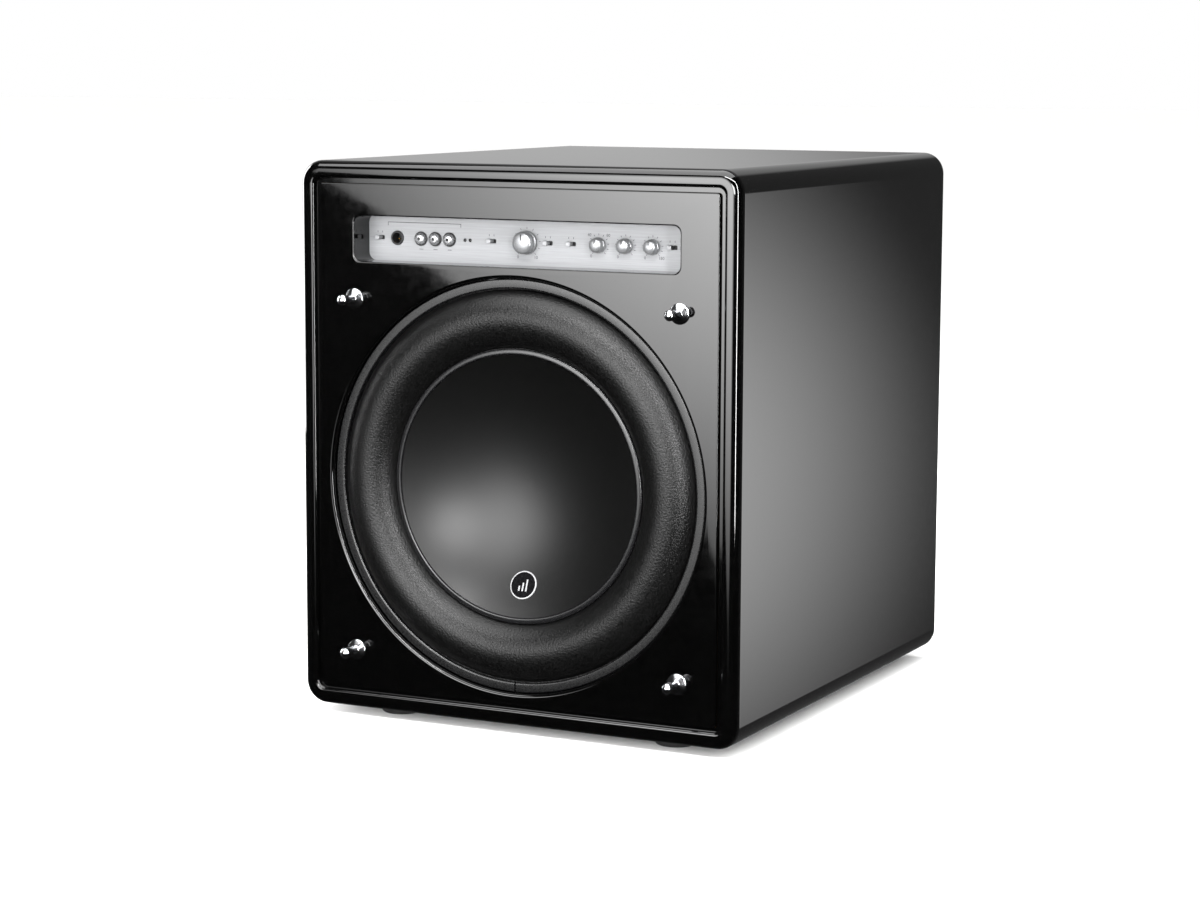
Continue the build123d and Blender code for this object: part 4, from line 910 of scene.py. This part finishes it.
braided_copper = grained_finish("braided_copper", "9a5a34", "c07b4c", 0.8, 0.1, 0.4, metal=1.0)
lead_shape = bmesh.new()
lead_low, lead_high = driver_z + 40.2, driver_z + 109.0
lead_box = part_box("tinsel_leads")
for lead_x in (-6.0, 6.0):
    lead_curve = bpy.data.curves.new("lead", "CURVE")
    lead_curve.dimensions = "3D"
    lead_curve.bevel_depth = 0.8
    lead_curve.use_fill_caps = True
    lead_line = lead_curve.splines.new("NURBS")
    lead_points = [
        (lead_x, FRONT_Y + 74.0, lead_low),
        (lead_x, FRONT_Y + 71.0, driver_z + 60.0),
        (lead_x, FRONT_Y + 74.0, driver_z + 84.0),
        (lead_x, FRONT_Y + 72.0, lead_high),
        (lead_x, lead_box[1].y * 1000, lead_high),
    ]
    lead_line.points.add(len(lead_points) - 1)
    for point, spot in zip(lead_line.points, lead_points):
        point.co = (*spot, 1.0)
    lead_line.order_u = 3
    lead_line.use_endpoint_u = True
    add_curve(lead_shape, lead_curve)
lead_piece = finish_piece(
    lead_shape, "braided_leads", [braided_copper], None, ["tinsel_leads"]
)
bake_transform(lead_piece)

# ---------------------------------------------------------------- motor
# Zinc plated steel plates clamp two ground ferrite rings.
black_zinc = grained_finish("black_zinc_steel", "2c2c2e", "3d3d40", 2.0, 0.01, 0.4, metal=1.0)
dress(black_zinc, "top_plate", "back_plate")
ferrite = grained_finish("ground_ferrite", "1d1d1f", "2c2c2e", 1.5, 0.03, 0.6)
dress(ferrite, "magnets")
cable_sheath = grained_finish("cable_pvc", "0d0d0d", "161616", 1.0, 0.01, 0.5)
dress(cable_sheath, "internal_cables")

# ---------------------------------------------------------------- amplifier
# Extruded aluminium plate with cooling fins, black anodised, screwed to the back. A plated
# steel box behind it holds the board, the ring transformer and the reservoir capacitors.
black_anodised = grained_finish(
    "black_anodised_extrusion", "0f0f10", "1c1c1e", 1.0, 0.012, 0.42, metal=0.6, stretch=(1, 1, 0.03)
)
dress(black_anodised, "amp_plate")
galvanised = grained_finish("zinc_plated_sheet", "8d9092", "b3b6b8", 9.0, 0.004, 0.35, metal=1.0)
dress(galvanised, "amp_chassis")
winding_tape = grained_finish("transformer_tape", "7a5412", "a9791f", 4.0, 0.12, 0.35)
dress(winding_tape, "transformer")
can_sleeve = grained_finish("capacitor_sleeve", "0d1424", "18233c", 3.0, 0.01, 0.25)
dress(can_sleeve, "capacitors")

# ---------------------------------------------------------------- rear sockets
# Nylon-shelled balanced sockets and mains inlet, gold plated phono jacks with a white and a
# red insulator, and pale printed frames round each group.
dress(moulded_black, "xlr_sockets", "mains_inlet")
dress(gold, "rca_jacks")
socket_z = case_middle - 120.0
rear_face = 483.0
white_insulator = grained_finish("white_insulator", "d8d8d6", "e6e6e4", 1.0, 0.002, 0.4)
red_insulator = grained_finish("red_insulator", "8f1413", "a61c1a", 1.0, 0.002, 0.4)
insulator_shape = bmesh.new()
for jack_x in (-14.0, 2.0):
    turn_into(
        insulator_shape,
        [(1.7, 487.0), (3.4, 487.0), (3.4, 489.95), (1.7, 489.95)],
        jack_x,
        socket_z,
        steps=48,
        ring=True,
    )
for face in insulator_shape.faces:
    face.material_index = 1 if face.calc_center_median().x > -6.0 else 0
finish_piece(
    insulator_shape, "jack_insulators", [white_insulator, red_insulator], "cabinet"
)
rear_ink = grained_finish("pale_ink", "9fa0a1", "b4b5b6", 0.8, 0.003, 0.5)
rear_shape = bmesh.new()
for frame_x, frame_width in ((46.0, 70.0), (108.0, 38.0), (-6.0, 34.0), (-52.0, 20.0), (-110.0, 44.0)):
    for level in (-24.0, 24.0):
        print_bar(rear_shape, frame_width, 0.5, frame_x, socket_z + level, rear_face + 0.02)
    for side in (-frame_width / 2, frame_width / 2):
        print_bar(rear_shape, 0.5, 48.5, frame_x + side, socket_z, rear_face + 0.02)
finish_piece(rear_shape, "rear_frames", [rear_ink], "cabinet")
